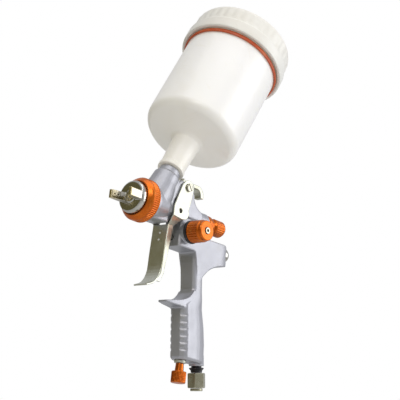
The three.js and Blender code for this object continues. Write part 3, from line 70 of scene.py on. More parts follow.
def add_noise(tree, scale_socket, detail, stretch=None):
    """Noise read in the object's own space, stretched along an axis where asked."""
    place = tree.nodes.new("ShaderNodeTexCoord")
    source = place.outputs["Object"]
    if stretch:
        mapping = tree.nodes.new("ShaderNodeMapping")
        mapping.inputs["Scale"].default_value = stretch
        tree.links.new(source, mapping.inputs["Vector"])
        source = mapping.outputs["Vector"]
    noise = tree.nodes.new("ShaderNodeTexNoise")
    noise.inputs["Detail"].default_value = detail
    tree.links.new(source, noise.inputs["Vector"])
    tree.links.new(scale_socket, noise.inputs["Scale"])
    return noise.outputs["Fac"]


def add_range(tree, value, low, high, to_low=0.0, to_high=1.0):
    spread = tree.nodes.new("ShaderNodeMapRange")
    spread.inputs["From Min"].default_value = low
    spread.inputs["From Max"].default_value = high
    for name, limit in (("To Min", to_low), ("To Max", to_high)):
        if isinstance(limit, float):
            spread.inputs[name].default_value = limit
        else:
            tree.links.new(limit, spread.inputs[name])
    tree.links.new(value, spread.inputs["Value"])
    return spread.outputs["Result"]


def add_math(tree, operation, first, second):
    node = tree.nodes.new("ShaderNodeMath")
    node.operation = operation
    for socket, value in zip(node.inputs, (first, second)):
        if isinstance(value, float):
            socket.default_value = value
        else:
            tree.links.new(value, socket)
    return node.outputs["Value"]


def build_uneven_tone():
    """Broad patches of a second colour, broken up by fine grain."""
    tree, start, end = new_group(
        "uneven_tone",
        [
            ("Base", "NodeSocketColor", (0.8, 0.8, 0.8, 1)),
            ("Second", "NodeSocketColor", (0.6, 0.6, 0.6, 1)),
            ("Patch Scale", "NodeSocketFloat", 60.0),
            ("Grain Scale", "NodeSocketFloat", 1500.0),
        ],
        [("Color", "NodeSocketColor")],
    )
    patch = add_range(tree, add_noise(tree, start.outputs["Patch Scale"], 3.0), 0.35, 0.75)
    grain = add_range(tree, add_noise(tree, start.outputs["Grain Scale"], 2.0), 0.3, 0.7, 0.6, 1.0)
    mix = tree.nodes.new("ShaderNodeMix")
    mix.data_type = "RGBA"
    tree.links.new(add_math(tree, "MULTIPLY", patch, grain), mix.inputs["Factor"])
    tree.links.new(start.outputs["Base"], mix.inputs["A"])
    tree.links.new(start.outputs["Second"], mix.inputs["B"])
    tree.links.new(mix.outputs["Result"], end.inputs["Color"])
    return tree


def build_uneven_gloss():
    """Roughness that drifts between two values, with fine smudges in it."""
    tree, start, end = new_group(
        "uneven_gloss",
        [
            ("Smooth", "NodeSocketFloat", 0.2),
            ("Rough", "NodeSocketFloat", 0.4),
            ("Scale", "NodeSocketFloat", 120.0),
        ],
        [("Roughness", "NodeSocketFloat")],
    )
    smudge = add_noise(tree, start.outputs["Scale"], 5.0)
    result = add_range(tree, smudge, 0.3, 0.7, start.outputs["Smooth"], start.outputs["Rough"])
    tree.links.new(result, end.inputs["Roughness"])
    return tree


def build_fine_relief():
    """Height of a fine pebbled skin with a slower swell under it."""
    tree, start, end = new_group(
        "fine_relief",
        [("Scale", "NodeSocketFloat", 1500.0), ("Swell Scale", "NodeSocketFloat", 120.0)],
        [("Height", "NodeSocketFloat")],
    )
    skin = add_noise(tree, start.outputs["Scale"], 4.0)
    swell = add_noise(tree, start.outputs["Swell Scale"], 1.0)
    tree.links.new(add_math(tree, "ADD", skin, swell), end.inputs["Height"])
    return tree


def build_tool_lines(name, stretch):
    """Height of fine parallel lines left by turning or brushing."""
    tree, start, end = new_group(name, [("Scale", "NodeSocketFloat", 900.0)], [("Height", "NodeSocketFloat")])
    tree.links.new(add_noise(tree, start.outputs["Scale"], 3.0, stretch), end.inputs["Height"])
    return tree


def build_handling_wear():
    """Mask of rubbed spots and hair scratches."""
    tree, start, end = new_group(
        "handling_wear",
        [("Scale", "NodeSocketFloat", 90.0), ("Amount", "NodeSocketFloat", 0.5)],
        [("Mask", "NodeSocketFloat")],
    )
    rubbed = add_range(tree, add_noise(tree, start.outputs["Scale"], 8.0), 0.58, 0.7)
    hairs = add_range(tree, add_noise(tree, start.outputs["Scale"], 6.0, (9.0, 0.8, 1.4)), 0.62, 0.68)
    both = add_math(tree, "MAXIMUM", rubbed, hairs)
    tree.links.new(add_math(tree, "MULTIPLY", both, start.outputs["Amount"]), end.inputs["Mask"])
    return tree


GROUPS = {
    "tone": build_uneven_tone(),
    "gloss": build_uneven_gloss(),
    "relief": build_fine_relief(),
    "turned_lines": build_tool_lines("turned_lines", (14.0, 0.6, 0.6)),
    "brushed_lines": build_tool_lines("brushed_lines", (1.0, 1.0, 0.06)),
    "wear": build_handling_wear(),
}


def place_group(material, key, **values):
    tree = material.node_tree
    node = tree.nodes.new("ShaderNodeGroup")
    node.node_tree = GROUPS[key]
    for label, value in values.items():
        node.inputs[label.replace("_", " ")].default_value = value
    return node


# ---------- materials ----------
def shade(r, g, b):
    return (r, g, b, 1)


def new_finish(name, metallic, tone, gloss, relief, depth, worn=None, lines=None):
    """A material with uneven colour, uneven gloss, relief, and rubbed spots where asked."""
    material = bpy.data.materials.new(name)
    material.use_nodes = True
    tree = material.node_tree
    surface = tree.nodes["Principled BSDF"]
    surface.inputs["Metallic"].default_value = metallic
    colour = place_group(material, "tone", **tone).outputs["Color"]
    if worn:
        worn_colour, worn_scale, worn_amount = worn
        mask = place_group(material, "wear", Scale=worn_scale, Amount=worn_amount).outputs["Mask"]
        mix = tree.nodes.new("ShaderNodeMix")
        mix.data_type = "RGBA"
        mix.inputs["B"].default_value = worn_colour
        tree.links.new(mask, mix.inputs["Factor"])
        tree.links.new(colour, mix.inputs["A"])
        colour = mix.outputs["Result"]
    tree.links.new(colour, surface.inputs["Base Color"])
    tree.links.new(place_group(material, "gloss", **gloss).outputs["Roughness"], surface.inputs["Roughness"])
    height = place_group(material, "relief", **relief).outputs["Height"]
    if lines:
        height = add_math(tree, "ADD", height, place_group(material, lines, Scale=900.0).outputs["Height"])
    bump = tree.nodes.new("ShaderNodeBump")
    bump.inputs["Distance"].default_value = depth
    bump.inputs["Strength"].default_value = 0.6
    tree.links.new(height, bump.inputs["Height"])
    tree.links.new(bump.outputs["Normal"], surface.inputs["Normal"])
    return material, surface


def tint_base(material, factor, colour):
    """Mixes a colour over what already feeds the base colour."""
    tree = material.node_tree
    base = tree.nodes["Principled BSDF"].inputs["Base Color"]
    mix = tree.nodes.new("ShaderNodeMix")
    mix.data_type = "RGBA"
    mix.inputs["B"].default_value = colour
    tree.links.new(factor, mix.inputs["Factor"])
    tree.links.new(base.links[0].from_socket, mix.inputs["A"])
    tree.links.new(mix.outputs["Result"], base)


def satin_body():
    material, surface = new_finish(
        "satin_plated_casting",
        0.62,
        {"Base": shade(0.42, 0.425, 0.465), "Second": shade(0.38, 0.383, 0.415), "Patch_Scale": 45.0},
        {"Smooth": 0.36, "Rough": 0.46, "Scale": 140.0},
        {"Scale": 1900.0, "Swell_Scale": 150.0},
        0.00002,
        worn=(shade(0.4, 0.39, 0.36), 70.0, 0.2),
    )
    surface.inputs["Coat Weight"].default_value = 0.15
    return material


def polished_nickel():
    material, _ = new_finish(
        "polished_dark_nickel",
        1.0,
        {"Base": shade(0.5, 0.49, 0.46), "Second": shade(0.4, 0.39, 0.35), "Patch_Scale": 80.0},
        {"Smooth": 0.1, "Rough": 0.2, "Scale": 160.0},
        {"Scale": 1200.0, "Swell_Scale": 200.0},
        0.00001,
        worn=(shade(0.62, 0.58, 0.45), 160.0, 0.3),
        lines="turned_lines",
    )
    return material


HORN_SHARE = 0.55  # of the air cap's length, from the tips of its horns


def cap_nickel():
    """The air cap's nickel, rubbed through to the brass on its horns."""
    material = polished_nickel()
    material.name = "air_cap_nickel"
    tree = material.node_tree
    low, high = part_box("air_cap")
    horn_root = low.x + HORN_SHARE * (high.x - low.x)
    place = tree.nodes.new("ShaderNodeTexCoord")
    split = tree.nodes.new("ShaderNodeSeparateXYZ")
    tree.links.new(place.outputs["Object"], split.inputs["Vector"])
    tint = add_range(tree, split.outputs["X"], low.x, horn_root, 0.9, 0.0)
    tint_base(material, tint, shade(0.7, 0.6, 0.36))
    return material


def satin_nickel():
    material, _ = new_finish(
        "satin_nickel_plate",
        0.9,
        {"Base": shade(0.6, 0.61, 0.53), "Second": shade(0.48, 0.475, 0.36), "Patch_Scale": 50.0},
        {"Smooth": 0.26, "Rough": 0.4, "Scale": 130.0},
        {"Scale": 1600.0, "Swell_Scale": 160.0},
        0.000015,
        worn=(shade(0.42, 0.4, 0.28), 80.0, 0.35),
        lines="brushed_lines",
    )
    return material


def dull_nickel():
    """The nickel of the inlet fittings, dulled and yellowed by handling."""
    material, _ = new_finish(
        "dull_fitting_nickel",
        0.9,
        {"Base": shade(0.4, 0.385, 0.28), "Second": shade(0.26, 0.245, 0.16), "Patch_Scale": 110.0},
        {"Smooth": 0.22, "Rough": 0.36, "Scale": 190.0},
        {"Scale": 1500.0, "Swell_Scale": 200.0},
        0.000015,
        worn=(shade(0.62, 0.6, 0.5), 150.0, 0.35),
        lines="turned_lines",
    )
    return material


def orange_anodised():
    material, surface = new_finish(
        "orange_anodised_aluminium",
        0.85,
        {"Base": shade(0.62, 0.135, 0.005), "Second": shade(0.44, 0.08, 0.003), "Patch_Scale": 90.0},
        {"Smooth": 0.24, "Rough": 0.36, "Scale": 200.0},
        {"Scale": 1800.0, "Swell_Scale": 240.0},
        0.000012,
        worn=(shade(0.8, 0.34, 0.08), 190.0, 0.3),
        lines="turned_lines",
    )
    surface.inputs["Coat Weight"].default_value = 0.15
    surface.inputs["Coat Roughness"].default_value = 0.2
    return material


def machined_brass():
    material, _ = new_finish(
        "machined_pale_brass",
        1.0,
        {"Base": shade(0.72, 0.6, 0.3), "Second": shade(0.56, 0.45, 0.2), "Patch_Scale": 120.0},
        {"Smooth": 0.2, "Rough": 0.34, "Scale": 210.0},
        {"Scale": 1500.0, "Swell_Scale": 240.0},
        0.000015,
        worn=(shade(0.4, 0.32, 0.16), 180.0, 0.4),
        lines="turned_lines",
    )
    return material


def turned_steel():
    material, _ = new_finish(
        "turned_steel",
        1.0,
        {"Base": shade(0.5, 0.49, 0.43), "Second": shade(0.38, 0.37, 0.29), "Patch_Scale": 110.0},
        {"Smooth": 0.2, "Rough": 0.34, "Scale": 180.0},
        {"Scale": 1500.0, "Swell_Scale": 220.0},
        0.000015,
        worn=(shade(0.34, 0.33, 0.3), 150.0, 0.35),
        lines="turned_lines",
    )
    return material


def black_oxide():
    material, _ = new_finish(
        "black_oxide_steel",
        0.6,
        {"Base": shade(0.018, 0.018, 0.022), "Second": shade(0.05, 0.048, 0.05), "Patch_Scale": 120.0},
        {"Smooth": 0.32, "Rough": 0.5, "Scale": 220.0},
        {"Scale": 1700.0, "Swell_Scale": 240.0},
        0.00002,
        worn=(shade(0.2, 0.19, 0.18), 200.0, 0.5),
        lines="turned_lines",
    )
    return material


GLOW_THROUGH_WALL = 0.13  # stands in for the light that the milky wall lets through from its far side


def milky_plastic():
    """Milky cup plastic, warmer and darker towards the outlet."""
    material, surface = new_finish(
        "milky_cup_plastic",
        0.0,
        {"Base": shade(0.79, 0.79, 0.8), "Second": shade(0.76, 0.76, 0.75), "Patch_Scale": 22.0},
        {"Smooth": 0.28, "Rough": 0.4, "Scale": 60.0},
        {"Scale": 900.0, "Swell_Scale": 40.0},
        0.00003,
        worn=(shade(0.7, 0.67, 0.6), 40.0, 0.2),
    )
    tree = material.node_tree
    axis = cup_axis()[1]
    place = tree.nodes.new("ShaderNodeTexCoord")
    along = tree.nodes.new("ShaderNodeVectorMath")
    along.operation = "DOT_PRODUCT"
    along.inputs[1].default_value = axis
    tree.links.new(place.outputs["Object"], along.inputs[0])
    neck, shoulder = cup_tint_span()
    # a warmer, darker colour mixed in, strongest at the neck and gone by the shoulder
    tint = add_range(tree, along.outputs["Value"], neck, shoulder, 0.5, 0.0)
    tint_base(material, tint, shade(0.72, 0.68, 0.58))
    surface.inputs["Subsurface Weight"].default_value = 0.12
    surface.inputs["Subsurface Radius"].default_value = (0.004, 0.004, 0.003)
    surface.inputs["Subsurface Scale"].default_value = 1.0
    surface.inputs["Coat Weight"].default_value = 0.35
    surface.inputs["Coat Roughness"].default_value = 0.22
    surface.inputs["Emission Color"].default_value = shade(1.0, 0.93, 0.76)
    surface.inputs["Emission Strength"].default_value = GLOW_THROUGH_WALL
    return material


def white_plastic():
    material, surface = new_finish(
        "white_lid_plastic",
        0.0,
        {"Base": shade(0.82, 0.81, 0.77), "Second": shade(0.76, 0.73, 0.66), "Patch_Scale": 30.0},
        {"Smooth": 0.3, "Rough": 0.44, "Scale": 80.0},
        {"Scale": 1100.0, "Swell_Scale": 60.0},
        0.00003,
        worn=(shade(0.68, 0.64, 0.56), 45.0, 0.2),
    )
    surface.inputs["Subsurface Weight"].default_value = 0.1
    surface.inputs["Subsurface Radius"].default_value = (0.003, 0.003, 0.003)
    surface.inputs["Subsurface Scale"].default_value = 1.0
    return material


def red_seal():
    material, _ = new_finish(
        "orange_red_seal",
        0.0,
        {"Base": shade(0.55, 0.09, 0.02), "Second": shade(0.42, 0.06, 0.015), "Patch_Scale": 60.0},
        {"Smooth": 0.3, "Rough": 0.5, "Scale": 120.0},
        {"Scale": 1300.0, "Swell_Scale": 90.0},
        0.00003,
        worn=(shade(0.7, 0.24, 0.1), 70.0, 0.35),
    )
    return material


def pale_seal():
    material, _ = new_finish(
        "pale_packing",
        0.0,
        {"Base": shade(0.76, 0.73, 0.64), "Second": shade(0.66, 0.62, 0.52), "Patch_Scale": 140.0},
        {"Smooth": 0.4, "Rough": 0.6, "Scale": 200.0},
        {"Scale": 1500.0, "Swell_Scale": 200.0},
        0.00003,
    )
    return material


# ---------- axes, read from the frame ----------
def joint_axis(name):
    joint = JOINTS[name]
    return Vector(joint["pos_m"]), Vector(joint["axis"]).normalized()


def cup_axis():
    return joint_axis("cup_turn")


def inlet_axis():
    mount = next(m for m in RECORD["mounts"] if m["name"] == "air_inlet_face")
    x, _, z = mount["pos_m"]
    return Vector((x, 0, z)), Vector(mount["axis"]).normalized()


def own_x_axis(node):
    low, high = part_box(node)
    return (low + high) / 2, Vector((1, 0, 0))


NECK_SHARE = 0.12  # shares of the cup's whole length, from its outlet
SHOULDER_SHARE = 0.5


def cup_tint_span():
    """Distances of the cup's neck and of its shoulder along the cup axis, from the frame's origin."""
    axis = cup_axis()[1]
    spans = [vertex.co.dot(axis) for vertex in frame["nodes"]["paint_cup"].data.vertices]
    low, high = min(spans), max(spans)
    return low + NECK_SHARE * (high - low), low + SHOULDER_SHARE * (high - low)


# ---------- turned pieces ----------
def walk(links, start):
    """Follows an outline from one of its points to the next for as long as there is a new one."""
    path = [start]
    while True:
        onward = [key for key in sorted(links[path[-1]]) if key not in path]
        if not onward:
            return path
        path.append(onward[0])


def section_of(node, origin, axis):
    """The outline of a turned CAD node as [distance along, radius] pairs in order, and whether it closes."""
    mesh = frame["nodes"][node].data
    side = axis.orthogonal().normalized()
    up = axis.cross(side)
    keys = []
    angles = []
    for vertex in mesh.vertices:
        arm = vertex.co - origin
        along = arm.dot(axis)
        flat = arm - along * axis
        radius = flat.length
        if radius < 0.02 * MM:
            radius = 0.0
        keys.append((round(along / MM, 2), round(radius / MM, 2)))
        angles.append(math.atan2(flat.dot(up), flat.dot(side)) if radius > 0 else None)
    links = {}
    for edge in mesh.edges:
        a, b = edge.vertices
        if keys[a] == keys[b]:
            continue
        if angles[a] is not None and angles[b] is not None:
            turn = (angles[a] - angles[b] + math.pi) % (2 * math.pi) - math.pi
            if abs(turn) > 0.003:
                continue
        links.setdefault(keys[a], set()).add(keys[b])
        links.setdefault(keys[b], set()).add(keys[a])
    ends = sorted(key for key in links if len(links[key]) == 1)
    paths = [walk(links, start) for start in ends or [min(links)]]
    path = max(paths, key=len)
    closed = not ends and path[0] in links[path[-1]]
    if not closed:
        if path[0][1] > 0:
            path.insert(0, (path[0][0], 0.0))
        if path[-1][1] > 0:
            path.append((path[-1][0], 0.0))
    return path, closed


def round_corners(path, closed, radius):
    """Cuts each corner of an outline into a short three-point bend."""
    count = len(path)
    result = []
    for i, (along, out) in enumerate(path):
        if not closed and i in (0, count - 1):
            result.append((along, out))
            continue
        here = Vector((along, out))
        before = Vector(path[i - 1]) - here
        after = Vector(path[(i + 1) % count]) - here
        if before.angle(after) > math.radians(172):
            result.append((along, out))
            continue
        start = here + before.normalized() * min(radius, before.length * 0.4)
        end = here + after.normalized() * min(radius, after.length * 0.4)
        middle = (start + 2 * here + end) / 4
        result.extend([tuple(start), tuple(middle), tuple(end)])
    return result


def split_long_runs(path, closed, longest):
    result = []
    pairs = zip(path, path[1:] + (path[:1] if closed else []))
    for a, b in pairs:
        steps = max(1, math.ceil((Vector(b) - Vector(a)).length / longest))
        for k in range(steps):
            share = k / steps
            result.append((a[0] + (b[0] - a[0]) * share, a[1] + (b[1] - a[1]) * share))
    if not closed:
        result.append(path[-1])
    return result


def turn_outline(name, path, closed, origin, axis, segments, relief=None):
    """Spins an outline, in millimetres, about an axis. relief says how far a point sinks towards the axis."""
    side = axis.orthogonal().normalized()
    up = axis.cross(side)
    shape = bmesh.new()
    rings = []
    for along, radius in path:
        if radius < 0.01:
            rings.append([shape.verts.new(origin + axis * along * MM)])
            continue
        ring = []
        for k in range(segments):
            angle = 2 * math.pi * k / segments
            out = radius - (relief(along, radius, angle) if relief else 0)
            spoke = side * math.cos(angle) + up * math.sin(angle)
            ring.append(shape.verts.new(origin + (axis * along + spoke * out) * MM))
        rings.append(ring)
    following = rings[1:] + (rings[:1] if closed else [])
    for a, b in zip(rings, following):
        for k in range(segments):
            n = (k + 1) % segments
            if len(a) == 1 and len(b) > 1:
                shape.faces.new((a[0], b[k], b[n]))
            elif len(b) == 1 and len(a) > 1:
                shape.faces.new((a[k], b[0], a[n]))
            elif len(a) > 1:
                shape.faces.new((a[k], b[k], b[n], a[n]))
    bmesh.ops.recalc_face_normals(shape, faces=shape.faces)
    return object_from(name, shape)


def object_from(name, shape):
    mesh = bpy.data.meshes.new(name)
    shape.to_mesh(mesh)
    shape.free()
    return link_smooth(name, mesh)


def link_smooth(name, mesh):
    mesh.polygons.foreach_set("use_smooth", [True] * len(mesh.polygons))
    piece = bpy.data.objects.new(name, mesh)
    bpy.context.scene.collection.objects.link(piece)
    evened = piece.modifiers.new("even_normals", "WEIGHTED_NORMAL")
    evened.keep_sharp = True
    return piece


def stands_for(piece, node, material):
    piece.data.materials.clear()
    piece.data.materials.append(material)
    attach(piece, BODY_OF[node])
    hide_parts(node)
    return piece


def ribs(low, high, count, depth, run_out=0.8):
    """Relief of rounded grooves all round, between two distances along the axis."""
    def relief(along, radius, angle):
        if along < low or along > high:
            return 0
        fade = min(1, (along - low) / run_out, (high - along) / run_out)
        return depth * fade * (0.5 - 0.5 * math.cos(count * angle)) ** 1.5
    return relief


def widest_span(path):
    """First and last distance along the axis at which an outline has its largest radius."""
    widest = max(radius for _, radius in path)
    spots = [along for along, radius in path if radius > widest - 0.06]
    return min(spots), max(spots)


def turned_piece(node, axis_pair, material, corner=0.35, segments=96, rib_count=0, rib_depth=0.0):
    origin, axis = axis_pair
    path, closed = section_of(node, origin, axis)
    relief = None
    if rib_count:
        low, high = widest_span(path)
        relief = ribs(low + 0.3, high - 0.3, rib_count, rib_depth)
        segments = rib_count * 6
    path = round_corners(path, closed, corner)
    if rib_count:
        path = split_long_runs(path, closed, 0.5)
    piece = turn_outline(node + "_turned", path, closed, origin, axis, segments, relief)
    return stands_for(piece, node, material)


# ---------- cast and crisp pieces ----------
def fixed_copy(node, name, modifiers):
    """A new mesh made from a CAD node through modifiers, whose results are kept."""
    source = frame["nodes"][node]
    draft = bpy.data.objects.new(name, source.data.copy())
    bpy.context.scene.collection.objects.link(draft)
    for kind, settings in modifiers:
        modifier = draft.modifiers.new(kind.lower(), kind)
        for key, value in settings.items():
            setattr(modifier, key, value)
    graph = bpy.context.evaluated_depsgraph_get()
    mesh = bpy.data.meshes.new_from_object(draft.evaluated_get(graph))
    bpy.data.objects.remove(draft)
    return link_smooth(name, mesh)


def cast_piece(node, material, voxel, softening):
    """A piece with every edge and meeting line softened, as in a polished casting or pressing."""
    piece = fixed_copy(
        node,
        node + "_cast",
        [
            ("WELD", {"merge_threshold": 0.01 * MM}),
            ("REMESH", {"mode": "VOXEL", "voxel_size": voxel * MM}),
            ("SMOOTH", {"factor": 0.5, "iterations": softening}),
        ],
    )
    return stands_for(piece, node, material)


def crisp_piece(node, material, edge=0.15):
    """A machined piece with a small bevel on each sharp edge."""
    piece = fixed_copy(
        node,
        node + "_machined",
        [
            ("WELD", {"merge_threshold": 0.01 * MM}),
            (
                "BEVEL",
                {
                    "width": edge * MM,
                    "segments": 2,
                    "limit_method": "ANGLE",
                    "angle_limit": math.radians(35),
                },
            ),
        ],
    )
    return stands_for(piece, node, material)


def finish_cad_node(node, material):
    """A CAD node that is shown as it is, with a better material."""
    mesh = frame["nodes"][node].data
    mesh.materials.clear()
    mesh.materials.append(material)


# ---------- the gun, sizes in millimetres ----------
MATERIALS = {
    "satin_body": satin_body(),
    "polished_nickel": polished_nickel(),
    "satin_nickel": satin_nickel(),
    "orange_anodised": orange_anodised(),
    "brass": machined_brass(),
    "steel": turned_steel(),
    "black_oxide": black_oxide(),
    "milky_plastic": milky_plastic(),
    "white_plastic": white_plastic(),
    "red_seal": red_seal(),
    "pale_seal": pale_seal(),
}


def finish_of(node):
    return MATERIALS[SLOT_OF[node]]


def make_castings():
    cast_piece("gun_body", finish_of("gun_body"), 0.55, 5)
    cast_piece("trigger", finish_of("trigger"), 0.32, 3)
    cast_piece("hanging_hook", finish_of("hanging_hook"), 0.35, 4)
    cast_piece("air_cap", cap_nickel(), 0.26, 2)


LID_WALL = 2.0
LID_SEAT_WIDTH = 3.6
LID_STEP_HEIGHT = 19.0
LID_STEP = 1.8
LID_STEP_RISE = 1.2
LID_ROUNDING = 4.0
LID_SKIRT_CHAMFER = 0.8
LID_INNER_TAPER = 1.6
LID_CORNER = 1.0
LID_LONGEST_RUN = 0.8
LID_RIBS = 36
LID_RIB_DEPTH = 0.5
LID_RIB_FOOT = 1.4
LID_RIB_HEAD = 1.5
LID_RIB_RUN_OUT = 3.0
SEGMENTS_PER_LID_RIB = 8


def span_and_reach(node, origin, axis):
    """Lowest and highest distance along an axis, and the largest radius about it, in millimetres."""
    arms = [vertex.co - origin for vertex in frame["nodes"][node].data.vertices]
    spans = [arm.dot(axis) / MM for arm in arms]
    reach = max((arm - arm.dot(axis) * axis).length / MM for arm in arms)
    return min(spans), max(spans), reach


def make_lid():
    origin, axis = cup_axis()
    low, high, reach = span_and_reach("cup_lid", origin, axis)
    step = high - LID_STEP_HEIGHT
    cap = reach - LID_STEP
    seat = reach - LID_SEAT_WIDTH
    outline = [
        (high - LID_WALL, 0),
        (high - LID_WALL, cap - LID_WALL - LID_INNER_TAPER),
        (step, seat),
        (low, seat),
        (low, reach - LID_SKIRT_CHAMFER),
        (low + LID_SKIRT_CHAMFER, reach),
        (step, reach),
        (step + LID_STEP_RISE, cap),
        (high - LID_ROUNDING, cap),
        (high - LID_ROUNDING * 0.3, cap - LID_ROUNDING * 0.3),
        (high, cap - LID_ROUNDING),
        (high, 0),
    ]
    outline = split_long_runs(round_corners(outline, False, LID_CORNER), False, LID_LONGEST_RUN)
    grip = ribs(step + LID_RIB_FOOT, high - LID_RIB_HEAD, LID_RIBS, LID_RIB_DEPTH, LID_RIB_RUN_OUT)

    def relief(along, radius, angle):
        return grip(along, radius, angle) if radius > cap - LID_WALL else 0

    segments = LID_RIBS * SEGMENTS_PER_LID_RIB
    lid = turn_outline("cup_lid_turned", outline, False, origin, axis, segments, relief)
    stands_for(lid, "cup_lid", finish_of("cup_lid"))


def make_cup():
    turned_piece("paint_cup", cup_axis(), finish_of("paint_cup"), corner=1.2, segments=160)
    turned_piece("cup_seal_ring", cup_axis(), finish_of("cup_seal_ring"), corner=1.0, segments=160)
    make_lid()
    crisp_piece("lid_vent_plug", finish_of("lid_vent_plug"), 0.3)


def make_knobs():
    turned_piece(
        "air_cap_ring", joint_axis("air_cap_turn"), finish_of("air_cap_ring"), rib_count=64, rib_depth=0.8
    )
    turned_piece("needle_lock_collar", joint_axis("fluid_knob_turn"), finish_of("needle_lock_collar"))
    turned_piece(
        "fluid_control_knob",
        joint_axis("fluid_knob_turn"),
        finish_of("fluid_control_knob"),
        rib_count=24,
        rib_depth=0.4,
    )
    turned_piece("fan_control_bush", joint_axis("fan_knob_turn"), finish_of("fan_control_bush"))
    turned_piece(
        "fan_control_knob",
        joint_axis("fan_knob_turn"),
        finish_of("fan_control_knob"),
        rib_count=26,
        rib_depth=0.6,
    )
    crisp_piece("fan_knob_screw", finish_of("fan_knob_screw"))
    turned_piece("air_regulator_bush", joint_axis("regulator_turn"), finish_of("air_regulator_bush"))
    turned_piece(
        "air_regulator_knob",
        joint_axis("regulator_turn"),
        finish_of("air_regulator_knob"),
        rib_count=30,
        rib_depth=0.4,
    )


def make_fittings():
    turned_piece("fluid_nozzle", joint_axis("air_cap_turn"), finish_of("fluid_nozzle"), corner=0.2)
    turned_piece("air_valve_cap", own_x_axis("air_valve_cap"), finish_of("air_valve_cap"))
    turned_piece("air_inlet_collar", inlet_axis(), finish_of("air_inlet_collar"))
    fitting_finish = dull_nickel()
    crisp_piece("air_inlet_nut", fitting_finish, 0.25)
    turned_piece("air_inlet_tail", inlet_axis(), fitting_finish)
    for node in ("trigger_pivot_screw", "trigger_pivot_nut", "hook_screw", "packing_nut", "needle_push_bar"):
        crisp_piece(node, finish_of(node))


def finish_inner_nodes():
    shown_as_cad = (
        "air_baffle", "fluid_needle", "needle_packing", "needle_spring", "fan_control_stem", "air_valve_stem",
        "air_valve_seat", "air_valve_spring", "air_regulator_stem", "cup_filter",
    )
    for node in shown_as_cad:
        finish_cad_node(node, finish_of(node))


# ---------- studio ----------
FLOOR_DROP = 0.62
FLOOR_HALF = 3.0
CAMERA_AZIMUTH = math.radians(-48.5)
CAMERA_ELEVATION = math.radians(-14.7)
CAMERA_ROLL = math.radians(5.85)
CAMERA_DISTANCE = 1.3209
CAMERA_SIDESTEP = 0.0271
CAMERA_RISE = 0.0099
CAMERA_LENS = 132.7
AIM_POINT = Vector((-0.0264, 0, -0.028))


def camera_turn():
    back = Vector((
        math.sin(CAMERA_AZIMUTH) * math.cos(CAMERA_ELEVATION),
        -math.cos(CAMERA_AZIMUTH) * math.cos(CAMERA_ELEVATION),
        math.sin(CAMERA_ELEVATION),
    ))
    right = Vector((0, 0, 1)).cross(back).normalized()
    up = back.cross(right)
    rolled_right = right * math.cos(CAMERA_ROLL) + up * math.sin(CAMERA_ROLL)
    rolled_up = up * math.cos(CAMERA_ROLL) - right * math.sin(CAMERA_ROLL)
    return rolled_right, rolled_up, back


def make_camera():
    right, up, back = camera_turn()
    place = AIM_POINT + right * CAMERA_SIDESTEP + up * CAMERA_RISE + back * CAMERA_DISTANCE
    camera = bpy.data.objects.new("camera", bpy.data.cameras.new("camera"))
    turn = Matrix((right, up, back)).transposed().to_4x4()
    camera.matrix_world = Matrix.Translation(place) @ turn
    camera.data.lens = CAMERA_LENS
    camera.data.sensor_width = 36
    camera.data.clip_end = 20
    bpy.context.scene.collection.objects.link(camera)
    bpy.context.scene.camera = camera


def soft_light(name, place, target, width, height, power, colour):
    lamp = bpy.data.lights.new(name, "AREA")
    lamp.shape = "RECTANGLE"
    lamp.size = width
    lamp.size_y = height
    lamp.energy = power
    lamp.color = colour
    holder = bpy.data.objects.new(name, lamp)
    holder.location = place
    holder.rotation_euler = (Vector(target) - Vector(place)).to_track_quat("-Z", "Y").to_euler()
    bpy.context.scene.collection.objects.link(holder)


def make_lights():
    middle = (0.0, 0.0, -0.02)
    soft_light("side_softbox", (0.75, -1.0, 0.25), middle, 0.9, 1.1, 7, (1.0, 1.0, 1.0))
    soft_light("top_softbox", (-0.2, -0.3, 1.3), middle, 1.2, 1.2, 6, (1.0, 1.0, 1.0))
    soft_light("front_strip", (-1.1, -0.5, 0.35), middle, 0.2, 0.7, 1.2, (1.0, 0.97, 0.9))
    soft_light("cup_fill", (-0.9, -0.75, 0.75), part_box("paint_cup")[1], 0.5, 0.5, 3.5, (1.0, 0.97, 0.92))


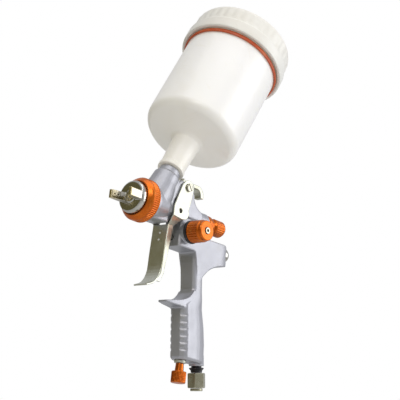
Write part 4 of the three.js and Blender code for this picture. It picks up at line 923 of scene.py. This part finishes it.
def make_floor():
    shape = bmesh.new()
    corners = [(-1, -1), (1, -1), (1, 1), (-1, 1)]
    shape.faces.new([shape.verts.new((x * FLOOR_HALF, y * FLOOR_HALF, -FLOOR_DROP)) for x, y in corners])
    bmesh.ops.subdivide_edges(shape, edges=shape.edges, cuts=6, use_grid_fill=True)
    floor = object_from("studio_floor", shape)
    material, _ = new_finish(
        "pale_studio_floor",
        0.0,
        {"Base": shade(0.8, 0.8, 0.78), "Second": shade(0.76, 0.76, 0.74), "Patch_Scale": 3.0},
        {"Smooth": 0.6, "Rough": 0.75, "Scale": 6.0},
        {"Scale": 60.0, "Swell_Scale": 6.0},
        0.0001,
    )
    floor.data.materials.append(material)


def make_surroundings():
    """White behind the gun, light from above and behind it, and a darker warm room low in front of it."""
    world = bpy.data.worlds.new("studio")
    bpy.context.scene.world = world
    world.use_nodes = True
    tree = world.node_tree
    tree.nodes.clear()
    place = tree.nodes.new("ShaderNodeTexCoord")
    facing = tree.nodes.new("ShaderNodeVectorMath")
    facing.operation = "DOT_PRODUCT"
    facing.inputs[1].default_value = Vector((0.62, -0.28, 0.73)).normalized()
    tree.links.new(place.outputs["Generated"], facing.inputs[0])
    ramp = tree.nodes.new("ShaderNodeValToRGB")
    ramp.color_ramp.elements[0].position = 0.3
    ramp.color_ramp.elements[0].color = (0.27, 0.24, 0.11, 1)
    ramp.color_ramp.elements[1].position = 0.62
    ramp.color_ramp.elements[1].color = (0.95, 0.96, 1.0, 1)
    tree.links.new(add_range(tree, facing.outputs["Value"], -1.0, 1.0), ramp.inputs["Fac"])
    room = tree.nodes.new("ShaderNodeBackground")
    room.inputs["Strength"].default_value = 0.62
    tree.links.new(ramp.outputs["Color"], room.inputs["Color"])
    white = tree.nodes.new("ShaderNodeBackground")
    white.inputs["Color"].default_value = (1, 1, 1, 1)
    white.inputs["Strength"].default_value = 1.0
    seen = tree.nodes.new("ShaderNodeLightPath")
    mix = tree.nodes.new("ShaderNodeMixShader")
    tree.links.new(seen.outputs["Is Camera Ray"], mix.inputs["Fac"])
    tree.links.new(room.outputs["Background"], mix.inputs[1])
    tree.links.new(white.outputs["Background"], mix.inputs[2])
    output = tree.nodes.new("ShaderNodeOutputWorld")
    tree.links.new(mix.outputs["Shader"], output.inputs["Surface"])
    bpy.context.scene.view_settings.view_transform = "Standard"


make_camera()
make_castings()
make_cup()
make_knobs()
make_fittings()
finish_inner_nodes()
make_lights()
make_floor()
make_surroundings()
